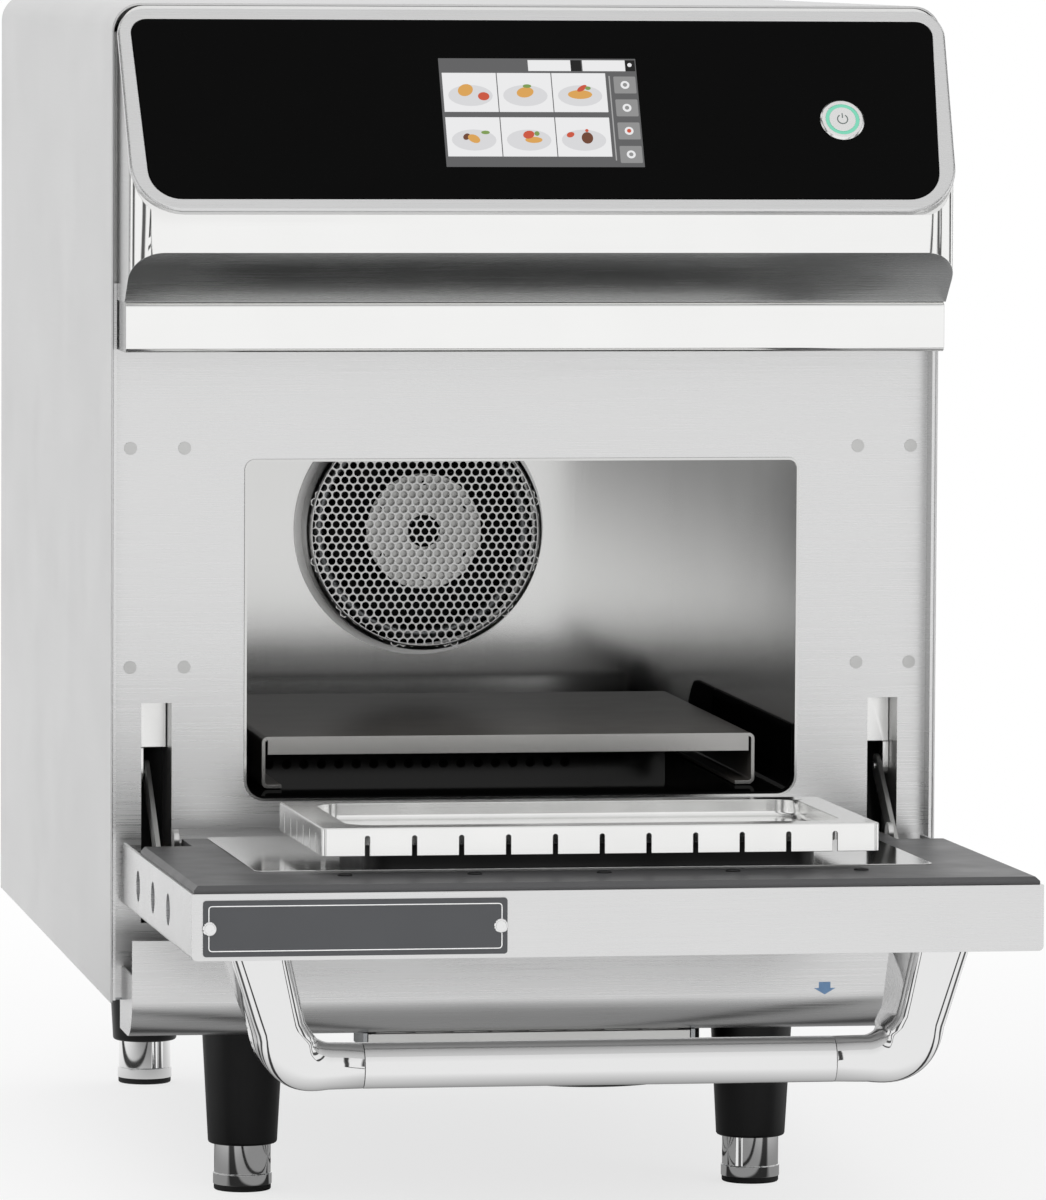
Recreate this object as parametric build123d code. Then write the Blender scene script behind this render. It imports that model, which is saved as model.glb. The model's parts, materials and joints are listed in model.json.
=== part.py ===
from build123d import *
import os
from math import atan2, cos, degrees, hypot, radians, sin

# Countertop speed oven with a drop-down door, shown open. Millimetres.
# X runs to the viewer's right, Y runs back into the oven and Z runs up.
# While the pieces are drawn, Y is zero on the face of the front plate.
# The door is drawn shut and then turned open about its hinge.

# Body
body_width = 410
body_depth = 535
body_height = 487.8
foot_height = 104.2
casing_sheet = 1.2
casing_corner = 14
casing_reach = 13
panel_sheet = 1.5
seam_gap = 0.3
cut_over = 5
base_flange = 14

# Oven cavity and its opening
cavity_side_step = 68.3
cavity_height = 165.5
cavity_depth = 350.5
cavity_rise = 98.5
cavity_sheet = 1.2
cavity_top_round = 4
cavity_floor_round = 9
cavity_lip = 0.9
cavity_head = 16
insulation_wall = 22
insulation_start = 12

# Non-stick tray on the cavity floor, and the cooking plate that stands in it
liner_height = 34
liner_sheet = 0.8
liner_side_gap = 0.3
liner_start = 3
liner_back_gap = 54
liner_back_round = 30
plate_side_step = 12.7
plate_length = 248
plate_start = 39
plate_top = 26.8
plate_sheet = 1.8
plate_lip = 9
plate_foot = 10
plate_bend = 3

# Fan at the back of the cavity
fan_axis_rise = 108.8
fan_cover_width = 133.4
fan_dome_width = 126
fan_cover_reach = 24
fan_cover_sheet = 1.2
fan_rim_round = 3
fan_hub_plate_width = 61
fan_hub_plate_hole = 17
fan_hub_plate_sheet = 1
fan_nut_width = 8
fan_nut_reach = 1.5
impeller_width = 96
impeller_plate = 1.5
impeller_hub_width = 12
blade_count = 12
blade_depth = 12
blade_length = 26
blade_sheet = 1.2
blade_lean = 35
impeller_back_gap = 5
fan_shaft_width = 8
heater_ring_width = 116
heater_wire = 6.4
heater_back_gap = 9
motor_width = 72
motor_length = 52
motor_flange_width = 92
motor_flange = 2
shaft_hole_gap = 3
back_hole_count = 18
back_hole_width = 5
back_hole_pitch = 9.35
back_hole_rise = 18

# Front plate
front_slot_inner_step = 25.7
front_slot_outer_step = 10.7
front_slot_top = 250.1
front_slot_foot = 142
front_flange_reach = 12
front_plate_top = 456
weld_width = 6
weld_proud = 0.3
weld_outer_step = 5.1
weld_inner_step = 31.7
weld_upper = 375
weld_lower = 267.7

# Trim bar above the door
trim_side_step = 3.4
trim_reach = 43.5
trim_height = 24.4
trim_foot = 423.6
trim_sheet = 1.5
trim_edge_round = 3

# Control console, a rounded block with an undercut chin and a leaning face
console_side_step = 2.8
console_reach = 74
console_corner = 16
console_sheet = 1.5
chin_height = 25
band_height = 18.4
console_top_round = 12.5
fascia_lean = 30.3
bezel_foot_step = 0.7
bezel_top_over = 2.1
bezel_height = 112
bezel_thick = 4
bezel_edge = 1
bezel_top_round = 14
bezel_foot_round = 26
glass_foot_rim = 8.7
glass_top_rim = 6.4
glass_height = 99
glass_thick = 3
glass_top_round = 8
glass_foot_round = 16
glass_gap = 0.25
screen_width = 97
screen_height = 60
screen_thick = 1
screen_foot = 17.6
screen_box_thick = 14
board_width = 150
board_height = 78
board_thick = 1.6
board_gap = 8
board_post_width = 6
board_post_inset = 8
chip_size = 18
chip_thick = 3

# Power button
button_x_step = 57
button_rise = 43.5
button_width = 22
button_light_width = 16.6
button_cap_width = 13.2
button_proud = 1.6
button_depth = 16
button_barrel_width = 18
button_travel_gap = 2.4
button_fit = 0.05

# Lower front cover
cover_side_step = 7
cover_reach = 46
cover_top = 138.3
cover_foot = 89.7
cover_sheet = 1.2
cover_nose_round = 20
cover_lip = 3
cover_side_top = 121
cover_tail = 6

# Air filter that slides out below the lower cover
filter_width = 160
filter_depth = 34
filter_thick = 5
filter_start = -30
filter_rim = 5
filter_bar = 1.6
filter_bar_count = 7
filter_gap = 0.4
filter_rail_wall = 2
filter_rail_lip = 4

# Round cowl below the base
cowl_x = 43
cowl_y = 67
cowl_width = 116
cowl_foot = 55
cowl_round = 12
cowl_sheet = 1.5

# Feet
foot_x_step = 76
foot_front_y = 70.3
foot_back_y = 493.2
leg_top_width = 43
leg_foot_width = 34.5
leg_foot = 23.5
leg_flange_width = 52
leg_flange = 4
leg_edge_round = 1.5
insert_width = 28.3
insert_top = 60
insert_fit = 0.1
insert_wall = 3
bore_spare = 6
foot_ring_width = 29.4
foot_ring_top = 8.6
foot_ring_foot = 3
pad_width = 28.6
pad_round = 1

# Door, drawn shut. The hinge line is set low, by the door's outer face.
hinge_y = -34
hinge_z = 155
door_open_angle = 89.1
door_half_step = 5.8
door_outer_y = -36.4
door_rim_y = -5.6
door_foot_z = 124
door_foot_rim_z = 137.8
door_top_z = 415
door_sheet = 1.5
door_edge_round = 2.5
frame_half_step = 1.3
frame_face_y = -2
frame_foot_z = 157
frame_top_z = 413
frame_bevel = 2
notch_inner_step = 26.2
notch_top_z = 201
back_plate_half_step = 44
back_plate_foot_z = 160
back_plate_top_z = 346
back_plate_thick = 0.7
plug_side_step = 4.8
plug_foot_z = 208.7
plug_top_z = 362.5
plug_face_y = 19.7
plug_skirt = 13.3
plug_sheet = 1.5
plug_corner = 3
plug_edge_round = 1
dish_inset = 13
dish_depth = 8
dish_corner = 16
dish_edge_round = 2.4
neck_inset = 24
slot_width = 2.3
slot_depth = 9.4
slot_end_step = 21.3
side_slot_end_step = 21.6
slot_count = 11
side_slot_count = 6
side_hole_width = 15
side_hole_y = -21
side_hole_first_z = 201.4
side_hole_pitch = 60.8
side_hole_count = 3
side_cap_thick = 1.2
label_step = 5.2
label_length = 141
label_front_y = -34.5
label_back_y = -8.6
label_thick = 0.8
label_round = 1.5
rivet_inset = 3
rivet_width = 5
rivet_proud = 1

# Door handle: a bar, and ends that widen from the bar into deep leaning legs
bar_half_step = 93.4
bar_z = 353
bar_y = -92.2
bar_tall = 24
bar_thick = 21.2
bar_round = 9.8
shoulder_x_step = 77
shoulder_tall = 26
elbow_x_step = 59.7
elbow_y = -85.5
elbow_z = 352
elbow_wide = 27.5
elbow_tall = 37
elbow_round = 8
elbow_turn = 45
leg_low_x_step = 53.7
leg_low_y = -73.5
leg_low_z = 346
leg_low_wide = 22.7
leg_low_tall = 50
leg_middle_x_step = 49
leg_middle_y = -56
leg_middle_z = 339.5
leg_middle_wide = 24.7
leg_middle_tall = 63
leg_root_x_step = 41.8
leg_root_y = -30
leg_root_z = 337
leg_root_wide = 27.4
leg_root_tall = 68
leg_lean = 74
leg_round = 6

# Door hinges and stay arms
hinge_pin_width = 5
hinge_lug_tip = 4.5
hinge_lug_inner_step = 14.3
hinge_lug_outer_step = 11
hinge_plate_depth = 38
hinge_wall = 1.5
hinge_lug_top = 166
hinge_plate_foot = 143
hinge_flange_over = 0.8
door_lug_inner_step = 9.2
door_lug_outer_step = 5.7
door_lug_base = 26
hinge_notch_inner_step = 17.2
hinge_notch_outer_step = 2
hinge_notch_top = 164
notch_end_z = 158
pin_fit = 0.06
stay_y = 24
stay_z = 214
stay_pin_reach = 14
stay_pin_turn = 96
stay_pin_width = 4
stay_inner_step = 17.2
stay_outer_step = 14.9
stay_slot_spare = 1
stay_wall = 2.6
stay_lug_inner_step = 14.2
stay_pin_end_step = 17.9
stay_block_inner_step = 25.3
stay_block_foot = 226.5
stay_block_top = 262
stay_block_front = 20
ear_inner_step = 24
ear_outer_step = 21.4
ear_tip = 5
ear_base = 24
ear_reach_y = 3
ear_reach_z = 164

# Inner works
rail_half_step = 55
rail_depth = 30
rail_front_y = 60
rail_back_y = 290
rail_sheet = 1.5
guide_half_x = 45
guide_x = -50
guide_front_y = 120
guide_back_y = 300
guide_height = 40
guide_sheet = 1.5
magnetron_wide = 84
magnetron_deep = 70
magnetron_tall = 58
magnetron_frame = 3
magnetron_fin_count = 6
magnetron_fin = 1
magnetron_core_width = 36
transformer_x_step = 95
transformer_y = 450
transformer_wide = 96
transformer_deep = 70
transformer_tall = 82
transformer_leg = 18
transformer_coil_over = 12
transformer_foot = 2
capacitor_step = 85
capacitor_y = 455
capacitor_wide = 52
capacitor_deep = 34
capacitor_tall = 86
terminal_width = 6
terminal_tall = 10
cooling_step = 105
cooling_z = 470
cooling_size = 120
cooling_deep = 25
cooling_bore = 114
cooling_hub = 42
cooling_blade_count = 7
cooling_blade = 1.4
cooling_blade_lean = 40
cooling_blade_gap = 2.5
cooling_arm = 6
cooling_arm_deep = 3
grille_ring_count = 5
grille_ring_pitch = 10
grille_ring_gap = 6
vent_wide = 60
vent_tall = 4
vent_pitch = 10
vent_count = 8
vent_x_step = 105
vent_z = 300
gland_x_step = 55
gland_z = 150
gland_width = 24
gland_reach = 14
gland_nut = 30
gland_nut_thick = 5
gland_bore = 12

half = body_width / 2
inner_half = half - casing_sheet

# The door and the fittings keep their distances from the sides, and the hinges and stays
# keep theirs from the door's sides, so a wider oven carries them outwards.
door_half = half - door_half_step
foot_x = half - foot_x_step
gland_x = half - gland_x_step
vent_x = half - vent_x_step
rail_half = half - rail_half_step
transformer_x = half - transformer_x_step
button_x = half - button_x_step
back_plate_half = half - back_plate_half_step
bar_half = half - bar_half_step
shoulder_x = half - shoulder_x_step
elbow_x = half - elbow_x_step
leg_low_x = half - leg_low_x_step
leg_middle_x = half - leg_middle_x_step
leg_root_x = half - leg_root_x_step
frame_half = door_half - frame_half_step
front_slot_inner = door_half - front_slot_inner_step
front_slot_outer = door_half - front_slot_outer_step
weld_outer = door_half - weld_outer_step
weld_inner = door_half - weld_inner_step
hinge_lug_inner = door_half - hinge_lug_inner_step
hinge_lug_outer = door_half - hinge_lug_outer_step
door_lug_inner = door_half - door_lug_inner_step
door_lug_outer = door_half - door_lug_outer_step
hinge_notch_inner = door_half - hinge_notch_inner_step
hinge_notch_outer = door_half - hinge_notch_outer_step
notch_inner = door_half - notch_inner_step
stay_inner = door_half - stay_inner_step
stay_outer = door_half - stay_outer_step
stay_lug_inner = door_half - stay_lug_inner_step
stay_pin_end = door_half - stay_pin_end_step
stay_block_inner = door_half - stay_block_inner_step
ear_inner = door_half - ear_inner_step
ear_outer = door_half - ear_outer_step
hinge_flange_outer = door_half + hinge_flange_over
console_half = half - console_side_step
trim_half = half - trim_side_step
cover_half = half - cover_side_step
bezel_foot_half = console_half - bezel_foot_step
bezel_top_half = console_half + bezel_top_over
glass_foot_half = bezel_foot_half - glass_foot_rim
glass_top_half = bezel_top_half - glass_top_rim
capacitor_x = capacitor_step - half
cooling_x = cooling_step - half
label_left = label_step - door_half
label_right = label_left + label_length

base_z = foot_height
top_z = base_z + body_height
back_y = body_depth - casing_reach
floor_z = base_z + casing_sheet
cavity_half = half - cavity_side_step
plate_half = cavity_half - plate_side_step
plug_half = cavity_half - plug_side_step
slot_pitch = 2 * (plug_half - slot_end_step) / (slot_count - 1)
side_slot_pitch = (plug_top_z - plug_foot_z - 2 * side_slot_end_step) / (side_slot_count - 1)
cavity_foot = base_z + cavity_rise
cavity_top = cavity_foot + cavity_height
cavity_back = cavity_depth + panel_sheet
cavity_roof = cavity_top + cavity_head
fan_z = cavity_foot + fan_axis_rise


def block(x_lo, x_hi, y_lo, y_hi, z_lo, z_hi):
    """A box between two corners."""
    size = Box(x_hi - x_lo, y_hi - y_lo, z_hi - z_lo)
    return Pos((x_lo + x_hi) / 2, (y_lo + y_hi) / 2, (z_lo + z_hi) / 2) * size


def outline(points, radii=0):
    """A flat closed outline with its corners rounded."""
    return make_face(FilletPolyline(*points, radius=radii, close=True))


def along_x(points, x_lo, x_hi, radii=0):
    """A side outline of (y, z) points, drawn out across the oven."""
    return extrude(Plane.YZ.offset(x_lo) * outline(points, radii), x_hi - x_lo)


def along_y(points, y_lo, y_hi, radii=0):
    """A front outline of (x, z) points, drawn out along the oven."""
    return extrude(Plane.XZ.offset(-y_hi) * outline(points, radii), y_hi - y_lo)


def along_z(points, z_lo, z_hi, radii=0):
    """A plan outline of (x, y) points, drawn upwards."""
    return extrude(Plane.XY.offset(z_lo) * outline(points, radii), z_hi - z_lo)


def corners(a_lo, a_hi, b_lo, b_hi):
    """The four corners of a rectangle, from the lower left and round."""
    return [(a_lo, b_lo), (a_hi, b_lo), (a_hi, b_hi), (a_lo, b_hi)]


def rod_x(x_lo, x_hi, y, z, width):
    """A round bar across the oven."""
    return extrude(Plane.YZ.offset(x_lo) * Pos(y, z) * Circle(width / 2), x_hi - x_lo)


def rod_y(x, y_lo, y_hi, z, width):
    """A round bar along the oven."""
    return extrude(Plane.XZ.offset(-y_hi) * Pos(x, z) * Circle(width / 2), y_hi - y_lo)


def rod_z(x, y, z_lo, z_hi, width):
    """An upright round bar."""
    return extrude(Plane.XY.offset(z_lo) * Pos(x, y) * Circle(width / 2), z_hi - z_lo)


def span(side, near, far):
    """A stretch of X on one side of the oven, lower end first."""
    return sorted((side * near, side * far))


def link(y_a, z_a, y_b, z_b, reach, x_lo, x_hi):
    """A flat link with round ends between two pivots, drawn across the oven."""
    length = hypot(y_b - y_a, z_b - z_a)
    turn = degrees(atan2(z_b - z_a, y_b - y_a))
    shape = Pos((y_a + y_b) / 2, (z_a + z_b) / 2) * Rot(Z=turn) * SlotCenterToCenter(length, 2 * reach)
    return extrude(Plane.YZ.offset(x_lo) * shape, x_hi - x_lo)


def shut(y, z, turn):
    """A point of the door, drawn open, turned by some degrees about the hinge."""
    a = radians(turn)
    y_off = y - hinge_y
    z_off = z - hinge_z
    return (hinge_y + y_off * cos(a) - z_off * sin(a), hinge_z + y_off * sin(a) + z_off * cos(a))


def opened(shape):
    """A piece of the door, turned from shut to open."""
    return Pos(0, hinge_y, hinge_z) * Rot(X=door_open_angle) * Pos(0, -hinge_y, -hinge_z) * shape


nodes = {}


def keep(name, shape):
    """Remember a finished sub-part under its name."""
    nodes[name] = shape


# Outer casing: one bent sheet over the top and both sides
def casing():
    radii = [0, 0, casing_corner, casing_corner]
    inner_radii = [0, 0, casing_corner - casing_sheet, casing_corner - casing_sheet]
    skin = along_y(corners(-half, half, base_z, top_z), -casing_reach, back_y - panel_sheet, radii)
    low = base_z - cut_over
    hollow_points = corners(-inner_half, inner_half, low, top_z - casing_sheet)
    hollow = along_y(hollow_points, -casing_reach - cut_over, back_y + cut_over, inner_radii)
    return skin - hollow


def base_chassis():
    edge = inner_half - seam_gap
    tray_back = back_y - panel_sheet
    tray = block(-edge, edge, panel_sheet, tray_back, base_z, base_z + base_flange)
    well = block(-edge + casing_sheet, edge - casing_sheet, -cut_over, tray_back + cut_over,
                 floor_z, base_z + body_height)
    return tray - well


def back_panel():
    panel = along_y(corners(-half, half, base_z, top_z), back_y - panel_sheet, back_y,
                    [0, 0, casing_corner, casing_corner])
    for ring in range(grille_ring_count):
        outer = grille_ring_gap + (ring + 1) * grille_ring_pitch
        inner = outer - grille_ring_gap
        hole = rod_y(cooling_x, back_y - cut_over, back_y + cut_over, cooling_z, 2 * outer)
        hole -= rod_y(cooling_x, back_y - 2 * cut_over, back_y + 2 * cut_over, cooling_z, 2 * inner)
        spoke = grille_ring_gap / 2
        hole -= block(cooling_x - cooling_size, cooling_x + cooling_size, back_y - cut_over,
                      back_y + cut_over, cooling_z - spoke, cooling_z + spoke)
        hole -= block(cooling_x - spoke, cooling_x + spoke, back_y - cut_over, back_y + cut_over,
                      cooling_z - cooling_size, cooling_z + cooling_size)
        panel -= hole
    for row in range(vent_count):
        z = vent_z + row * vent_pitch
        panel -= block(vent_x - vent_wide / 2, vent_x + vent_wide / 2, back_y - cut_over,
                       back_y + cut_over, z, z + vent_tall)
    panel -= rod_y(gland_x, back_y - cut_over, back_y + cut_over, gland_z, gland_width)
    return panel


def cable_gland():
    """The inlet for the cord: a flanged bush in the back panel."""
    bush = rod_y(gland_x, back_y - panel_sheet - gland_nut_thick, back_y + gland_reach, gland_z,
                 gland_width)
    bush += rod_y(gland_x, back_y, back_y + gland_nut_thick, gland_z, gland_nut)
    bush -= rod_y(gland_x, back_y - cut_over - gland_reach, back_y + gland_reach + cut_over, gland_z,
                  gland_bore)
    return bush


def front_plate():
    """The upright face around the opening, with its side flanges turned forward."""
    plate = block(-inner_half, inner_half, 0, panel_sheet, floor_z, front_plate_top)
    for side in (-1, 1):
        x_lo, x_hi = span(side, inner_half - panel_sheet, inner_half)
        plate += block(x_lo, x_hi, -front_flange_reach, 0, floor_z, front_plate_top)
        x_lo, x_hi = span(side, front_slot_inner, front_slot_outer)
        plate -= block(x_lo, x_hi, -cut_over, cut_over, front_slot_foot, front_slot_top)
        for x in (weld_inner, weld_outer):
            for z in (weld_lower, weld_upper):
                plate += rod_y(side * x, -weld_proud, 0, z, weld_width)
    return plate - cavity_form(cavity_sheet, -cut_over, cut_over, cavity_top)


def cavity_form(grow, y_lo, y_hi, roof):
    """The cavity's rounded outline, grown by a wall and drawn along the oven."""
    side = cavity_half + grow
    points = corners(-side, side, cavity_foot - grow, roof + grow)
    floor_round = cavity_floor_round + grow
    top_round = cavity_top_round + grow
    return along_y(points, y_lo, y_hi, [floor_round, floor_round, top_round, top_round])


def cavity_shell():
    """The oven box: taller inside than its opening, with a lip through the front plate."""
    shell = cavity_form(cavity_sheet, panel_sheet, cavity_back + cavity_sheet, cavity_roof)
    shell += cavity_form(cavity_sheet, -cavity_lip, panel_sheet, cavity_top)
    shell -= cavity_form(0, -cavity_lip - cut_over, cavity_back, cavity_top)
    shell -= cavity_form(0, panel_sheet + cavity_sheet, cavity_back, cavity_roof)
    shaft_hole = fan_shaft_width + 2 * shaft_hole_gap
    shell -= rod_y(0, cavity_back - cut_over, cavity_back + cut_over, fan_z, shaft_hole)
    first = -(back_hole_count - 1) * back_hole_pitch / 2
    for index in range(back_hole_count):
        x = first + index * back_hole_pitch
        shell -= rod_y(x, cavity_back - cut_over, cavity_back + cut_over,
                       cavity_foot + back_hole_rise, back_hole_width)
    return shell


def insulation():
    """A blanket round the cavity's sides, floor, roof and back."""
    wall = cavity_sheet + insulation_wall
    end = cavity_back + cavity_sheet
    blanket = cavity_form(wall, insulation_start, end + insulation_wall, cavity_roof)
    blanket -= cavity_form(cavity_sheet, insulation_start - cut_over, end, cavity_roof)
    blanket -= rod_y(0, end - cut_over, end + insulation_wall + cut_over, fan_z, motor_flange_width)
    return blanket


def cavity_liner():
    """A thin tray on the cavity's floor, its sides rounded off at the back."""
    side = cavity_half - liner_side_gap
    length = (liner_start, cavity_back - liner_back_gap)
    top = cavity_foot + liner_height
    bend = cavity_floor_round
    tray = along_y(corners(-side, side, cavity_foot, top), *length, [bend, bend, 0, 0])
    inner = side - liner_sheet
    bend -= liner_sheet
    points = corners(-inner, inner, cavity_foot + liner_sheet, top + cut_over)
    tray -= along_y(points, length[0] - cut_over, length[1] + cut_over, [bend, bend, 0, 0])
    profile = along_x(corners(length[0], length[1], cavity_foot, top), -side, side,
                      [0, 0, liner_back_round, 0])
    return tray & profile


def cooking_plate():
    """A raised plate: one sheet bent down at both sides and turned in at the feet."""
    side = plate_half
    foot = cavity_foot + liner_sheet + seam_gap
    top = cavity_foot + plate_top
    end = plate_start + plate_length
    body = along_y(corners(-side, side, foot, top), plate_start, end, plate_bend)
    inner = side - plate_sheet
    bend = plate_bend - plate_sheet
    body -= along_y(corners(-inner, inner, foot + plate_sheet, top - plate_sheet),
                    plate_start - cut_over, end + cut_over, bend)
    body -= block(-side + plate_foot, side - plate_foot, plate_start - cut_over, end + cut_over,
                  foot - cut_over, foot + plate_sheet + bend)
    lip = block(-side + plate_bend, side - plate_bend, plate_start, plate_start + plate_sheet,
                top - plate_lip, top - plate_sheet)
    return body + lip


def fan_cover():
    """A round dome on the back wall, with a rim flange; its face is perforated sheet."""
    front = cavity_back - fan_cover_reach
    dome = rod_y(0, front, cavity_back, fan_z, fan_dome_width)
    dome = fillet(dome.edges().group_by(Axis.Y)[0], fan_rim_round)
    inner = fan_dome_width - 2 * fan_cover_sheet
    dome -= rod_y(0, front + fan_cover_sheet, cavity_back + cut_over, fan_z, inner)
    rim = rod_y(0, cavity_back - fan_cover_sheet, cavity_back, fan_z, fan_cover_width)
    return dome + (rim - rod_y(0, front, cavity_back + cut_over, fan_z, inner))


def fan_hub_plate():
    """The bright ring on the front edges of the wheel's blades, seen through the cover."""
    back = cavity_back - impeller_back_gap - impeller_plate - blade_depth
    ring = rod_y(0, back - fan_hub_plate_sheet, back, fan_z, fan_hub_plate_width)
    return ring - rod_y(0, back - cut_over, back + cut_over, fan_z, fan_hub_plate_hole)


def convection_impeller():
    """A backplate with leaning blades on a hub and shaft."""
    plate_y = cavity_back - impeller_back_gap
    wheel = rod_y(0, plate_y - impeller_plate, plate_y, fan_z, impeller_width)
    hub_front = plate_y - impeller_plate - blade_depth
    wheel += rod_y(0, hub_front, plate_y, fan_z, impeller_hub_width)
    middle = (impeller_width - blade_length) / 2
    for index in range(blade_count):
        blade = Box(blade_length, blade_depth, blade_sheet)
        blade = Pos(middle, 0, 0) * Rot(Y=blade_lean) * blade
        wheel += (Pos(0, plate_y - impeller_plate - blade_depth / 2, fan_z)
                  * Rot(Y=index * 360 / blade_count) * blade)
    wheel &= rod_y(0, hub_front, plate_y, fan_z, impeller_width)
    wheel += rod_y(0, hub_front - fan_nut_reach, hub_front, fan_z, fan_nut_width)
    shaft_end = cavity_back + cavity_sheet + motor_flange + seam_gap
    wheel += rod_y(0, plate_y, shaft_end + motor_length / 2, fan_z, fan_shaft_width)
    return wheel


def heating_element():
    """A ring of sheathed wire round the impeller, with its two tails through the wall."""
    y = cavity_back - heater_back_gap
    ring = Pos(0, y, fan_z) * Rot(X=90) * Torus((heater_ring_width - heater_wire) / 2, heater_wire / 2)
    return ring


def heater_clips():
    """Three small clips that hold the ring off the back wall."""
    clips = []
    radius = (heater_ring_width - heater_wire) / 2
    for turn in (90, 210, 330):
        post = Pos(radius, 0, 0) * block(-heater_wire / 2, heater_wire / 2,
                                         cavity_back - heater_back_gap + heater_wire / 2,
                                         cavity_back, -heater_wire / 2, heater_wire / 2)
        clips.append(Pos(0, 0, fan_z) * Rot(Y=-turn) * post)
    return clips


def convection_motor():
    front = cavity_back + cavity_sheet
    motor = rod_y(0, front, front + motor_flange, fan_z, motor_flange_width)
    motor += rod_y(0, front + motor_flange, front + motor_flange + motor_length, fan_z, motor_width)
    bore = fan_shaft_width + 2 * button_fit
    motor -= rod_y(0, front - cut_over, front + motor_flange + motor_length / 2 + 2 * seam_gap, fan_z,
                   bore)
    return motor


def trim_bar():
    """A folded channel across the top of the door, with rounded outer edges."""
    side = trim_half
    top = trim_foot + trim_height
    radii = [trim_edge_round, 0, 0, trim_edge_round]
    bar = along_x(corners(-trim_reach, 0, trim_foot, top), -side, side, radii)
    inner = side - trim_sheet
    hollow = corners(-trim_reach + trim_sheet, cut_over, trim_foot + trim_sheet, top - trim_sheet)
    radii = [trim_edge_round - trim_sheet, 0, 0, trim_edge_round - trim_sheet]
    return bar - along_x(hollow, -inner, inner, radii)


# The console's face is a plane of its own: X across, Y up the slope, Z out of it.
chin_foot_z = trim_foot + trim_height
band_foot_z = chin_foot_z + chin_height
band_top_z = band_foot_z + band_height
lean = radians(fascia_lean)
face_out = (0, -cos(lean), sin(lean))
bezel_rim = (bezel_height - glass_height) / 2
slope_foot_y = -console_reach
slope_foot_z = band_top_z
fascia = Plane(
    origin=(0, slope_foot_y - bezel_thick * cos(lean), slope_foot_z + bezel_thick * sin(lean)),
    x_dir=(1, 0, 0), z_dir=face_out)


def console_profile(wall, back):
    """The console's side outline, set in by a wall: undercut chin, band and slope."""
    top = top_z - casing_sheet - wall
    chin_turn = atan2(chin_height, console_reach - trim_reach)
    chin_slip = wall * (1 - cos(chin_turn)) / sin(chin_turn)
    band_y = -console_reach + wall
    chin_z = band_foot_z + wall * (1 - sin(chin_turn)) / cos(chin_turn)
    slope_z = band_top_z - wall * (1 - cos(lean)) / sin(lean)
    top_y = band_y + (top - slope_z) * sin(lean) / cos(lean)
    return [(back, chin_foot_z + wall), (-trim_reach + chin_slip, chin_foot_z + wall),
            (band_y, chin_z), (band_y, slope_z), (top_y, top), (back, top)]


def console_form(wall, back):
    side = console_half - wall
    bend = console_corner - wall
    plan = corners(-side, side, -console_reach + wall, back)
    body = along_z(plan, chin_foot_z + wall, top_z, [bend, bend, 0, 0])
    top_bend = console_top_round - wall
    face = corners(-side, side, chin_foot_z - cut_over, top_z - casing_sheet - wall)
    body &= along_y(face, -console_reach, back, [0, 0, top_bend, top_bend])
    return body & along_x(console_profile(wall, back), -side, side)


def control_housing():
    """The polished console body: a hollow shell, open at the back, flanged to meet the casing."""
    shell = console_form(0, 0) - console_form(console_sheet, cut_over)
    low = screen_foot + bezel_rim
    window = corners(-screen_width / 2, screen_width / 2, low, low + screen_height)
    shell -= extrude(fascia * outline(window), -bezel_thick - console_sheet - cut_over)
    hole = fascia * Pos(button_x, button_rise + bezel_rim) * Circle(button_barrel_width / 2 + seam_gap)
    shell -= extrude(hole, -bezel_thick - console_sheet - cut_over)
    for side in (-1, 1):
        x_lo, x_hi = span(side, console_half - console_sheet, inner_half - seam_gap)
        shell += block(x_lo, x_hi, -console_sheet, 0, front_plate_top, top_z - casing_corner)
    return shell


def fascia_shape(low, high, foot, height, foot_round, top_round):
    """A rounded panel on the console's face; low and high are its half widths at foot and top."""
    points = [(-low, foot), (low, foot), (high, foot + height), (-high, foot + height)]
    return fascia * outline(points, [foot_round, foot_round, top_round, top_round])


def fascia_bezel():
    """The steel surround: a plate with a pocket for the glass."""
    plate = extrude(fascia_shape(bezel_foot_half, bezel_top_half, 0, bezel_height,
                                 bezel_foot_round, bezel_top_round), -bezel_thick)
    plate = chamfer(plate.edges().filter_by(lambda edge: on_face(edge, 0)), bezel_edge)
    pocket = extrude(fascia_shape(glass_foot_half, glass_top_half, bezel_rim, glass_height,
                                  glass_foot_round, glass_top_round), -glass_thick)
    plate -= pocket
    low = screen_foot + bezel_rim
    window = corners(-screen_width / 2, screen_width / 2, low, low + screen_height)
    plate -= extrude(fascia * outline(window), -bezel_thick - cut_over)
    hole = fascia * Pos(button_x, button_rise + bezel_rim) * Circle(button_barrel_width / 2 + seam_gap)
    return plate - extrude(hole, -bezel_thick - cut_over)


def on_face(edge, depth):
    """True for an edge that lies at one depth below the console's face."""
    return all(abs(fascia.to_local_coords(Vector(*vertex)).Z + depth) < seam_gap
               for vertex in edge.vertices())


def fascia_glass():
    glass = extrude(fascia_shape(glass_foot_half - glass_gap, glass_top_half - glass_gap,
                                 bezel_rim + glass_gap, glass_height - 2 * glass_gap,
                                 glass_foot_round - glass_gap, glass_top_round - glass_gap),
                    -glass_thick)
    low = screen_foot + bezel_rim
    window = corners(-screen_width / 2, screen_width / 2, low, low + screen_height)
    glass -= extrude(fascia * outline(window), -screen_thick)
    hole = fascia * Pos(button_x, button_rise + bezel_rim) * Circle(button_barrel_width / 2 + seam_gap)
    return glass - extrude(hole, -glass_thick - cut_over)


def slab(x_lo, x_hi, s_lo, s_hi, d_lo, d_hi):
    """A block in the console face's own directions; d is the depth below the face."""
    face = (fascia.offset(-d_lo)) * outline(corners(x_lo, x_hi, s_lo, s_hi))
    return extrude(face, d_lo - d_hi)


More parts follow.
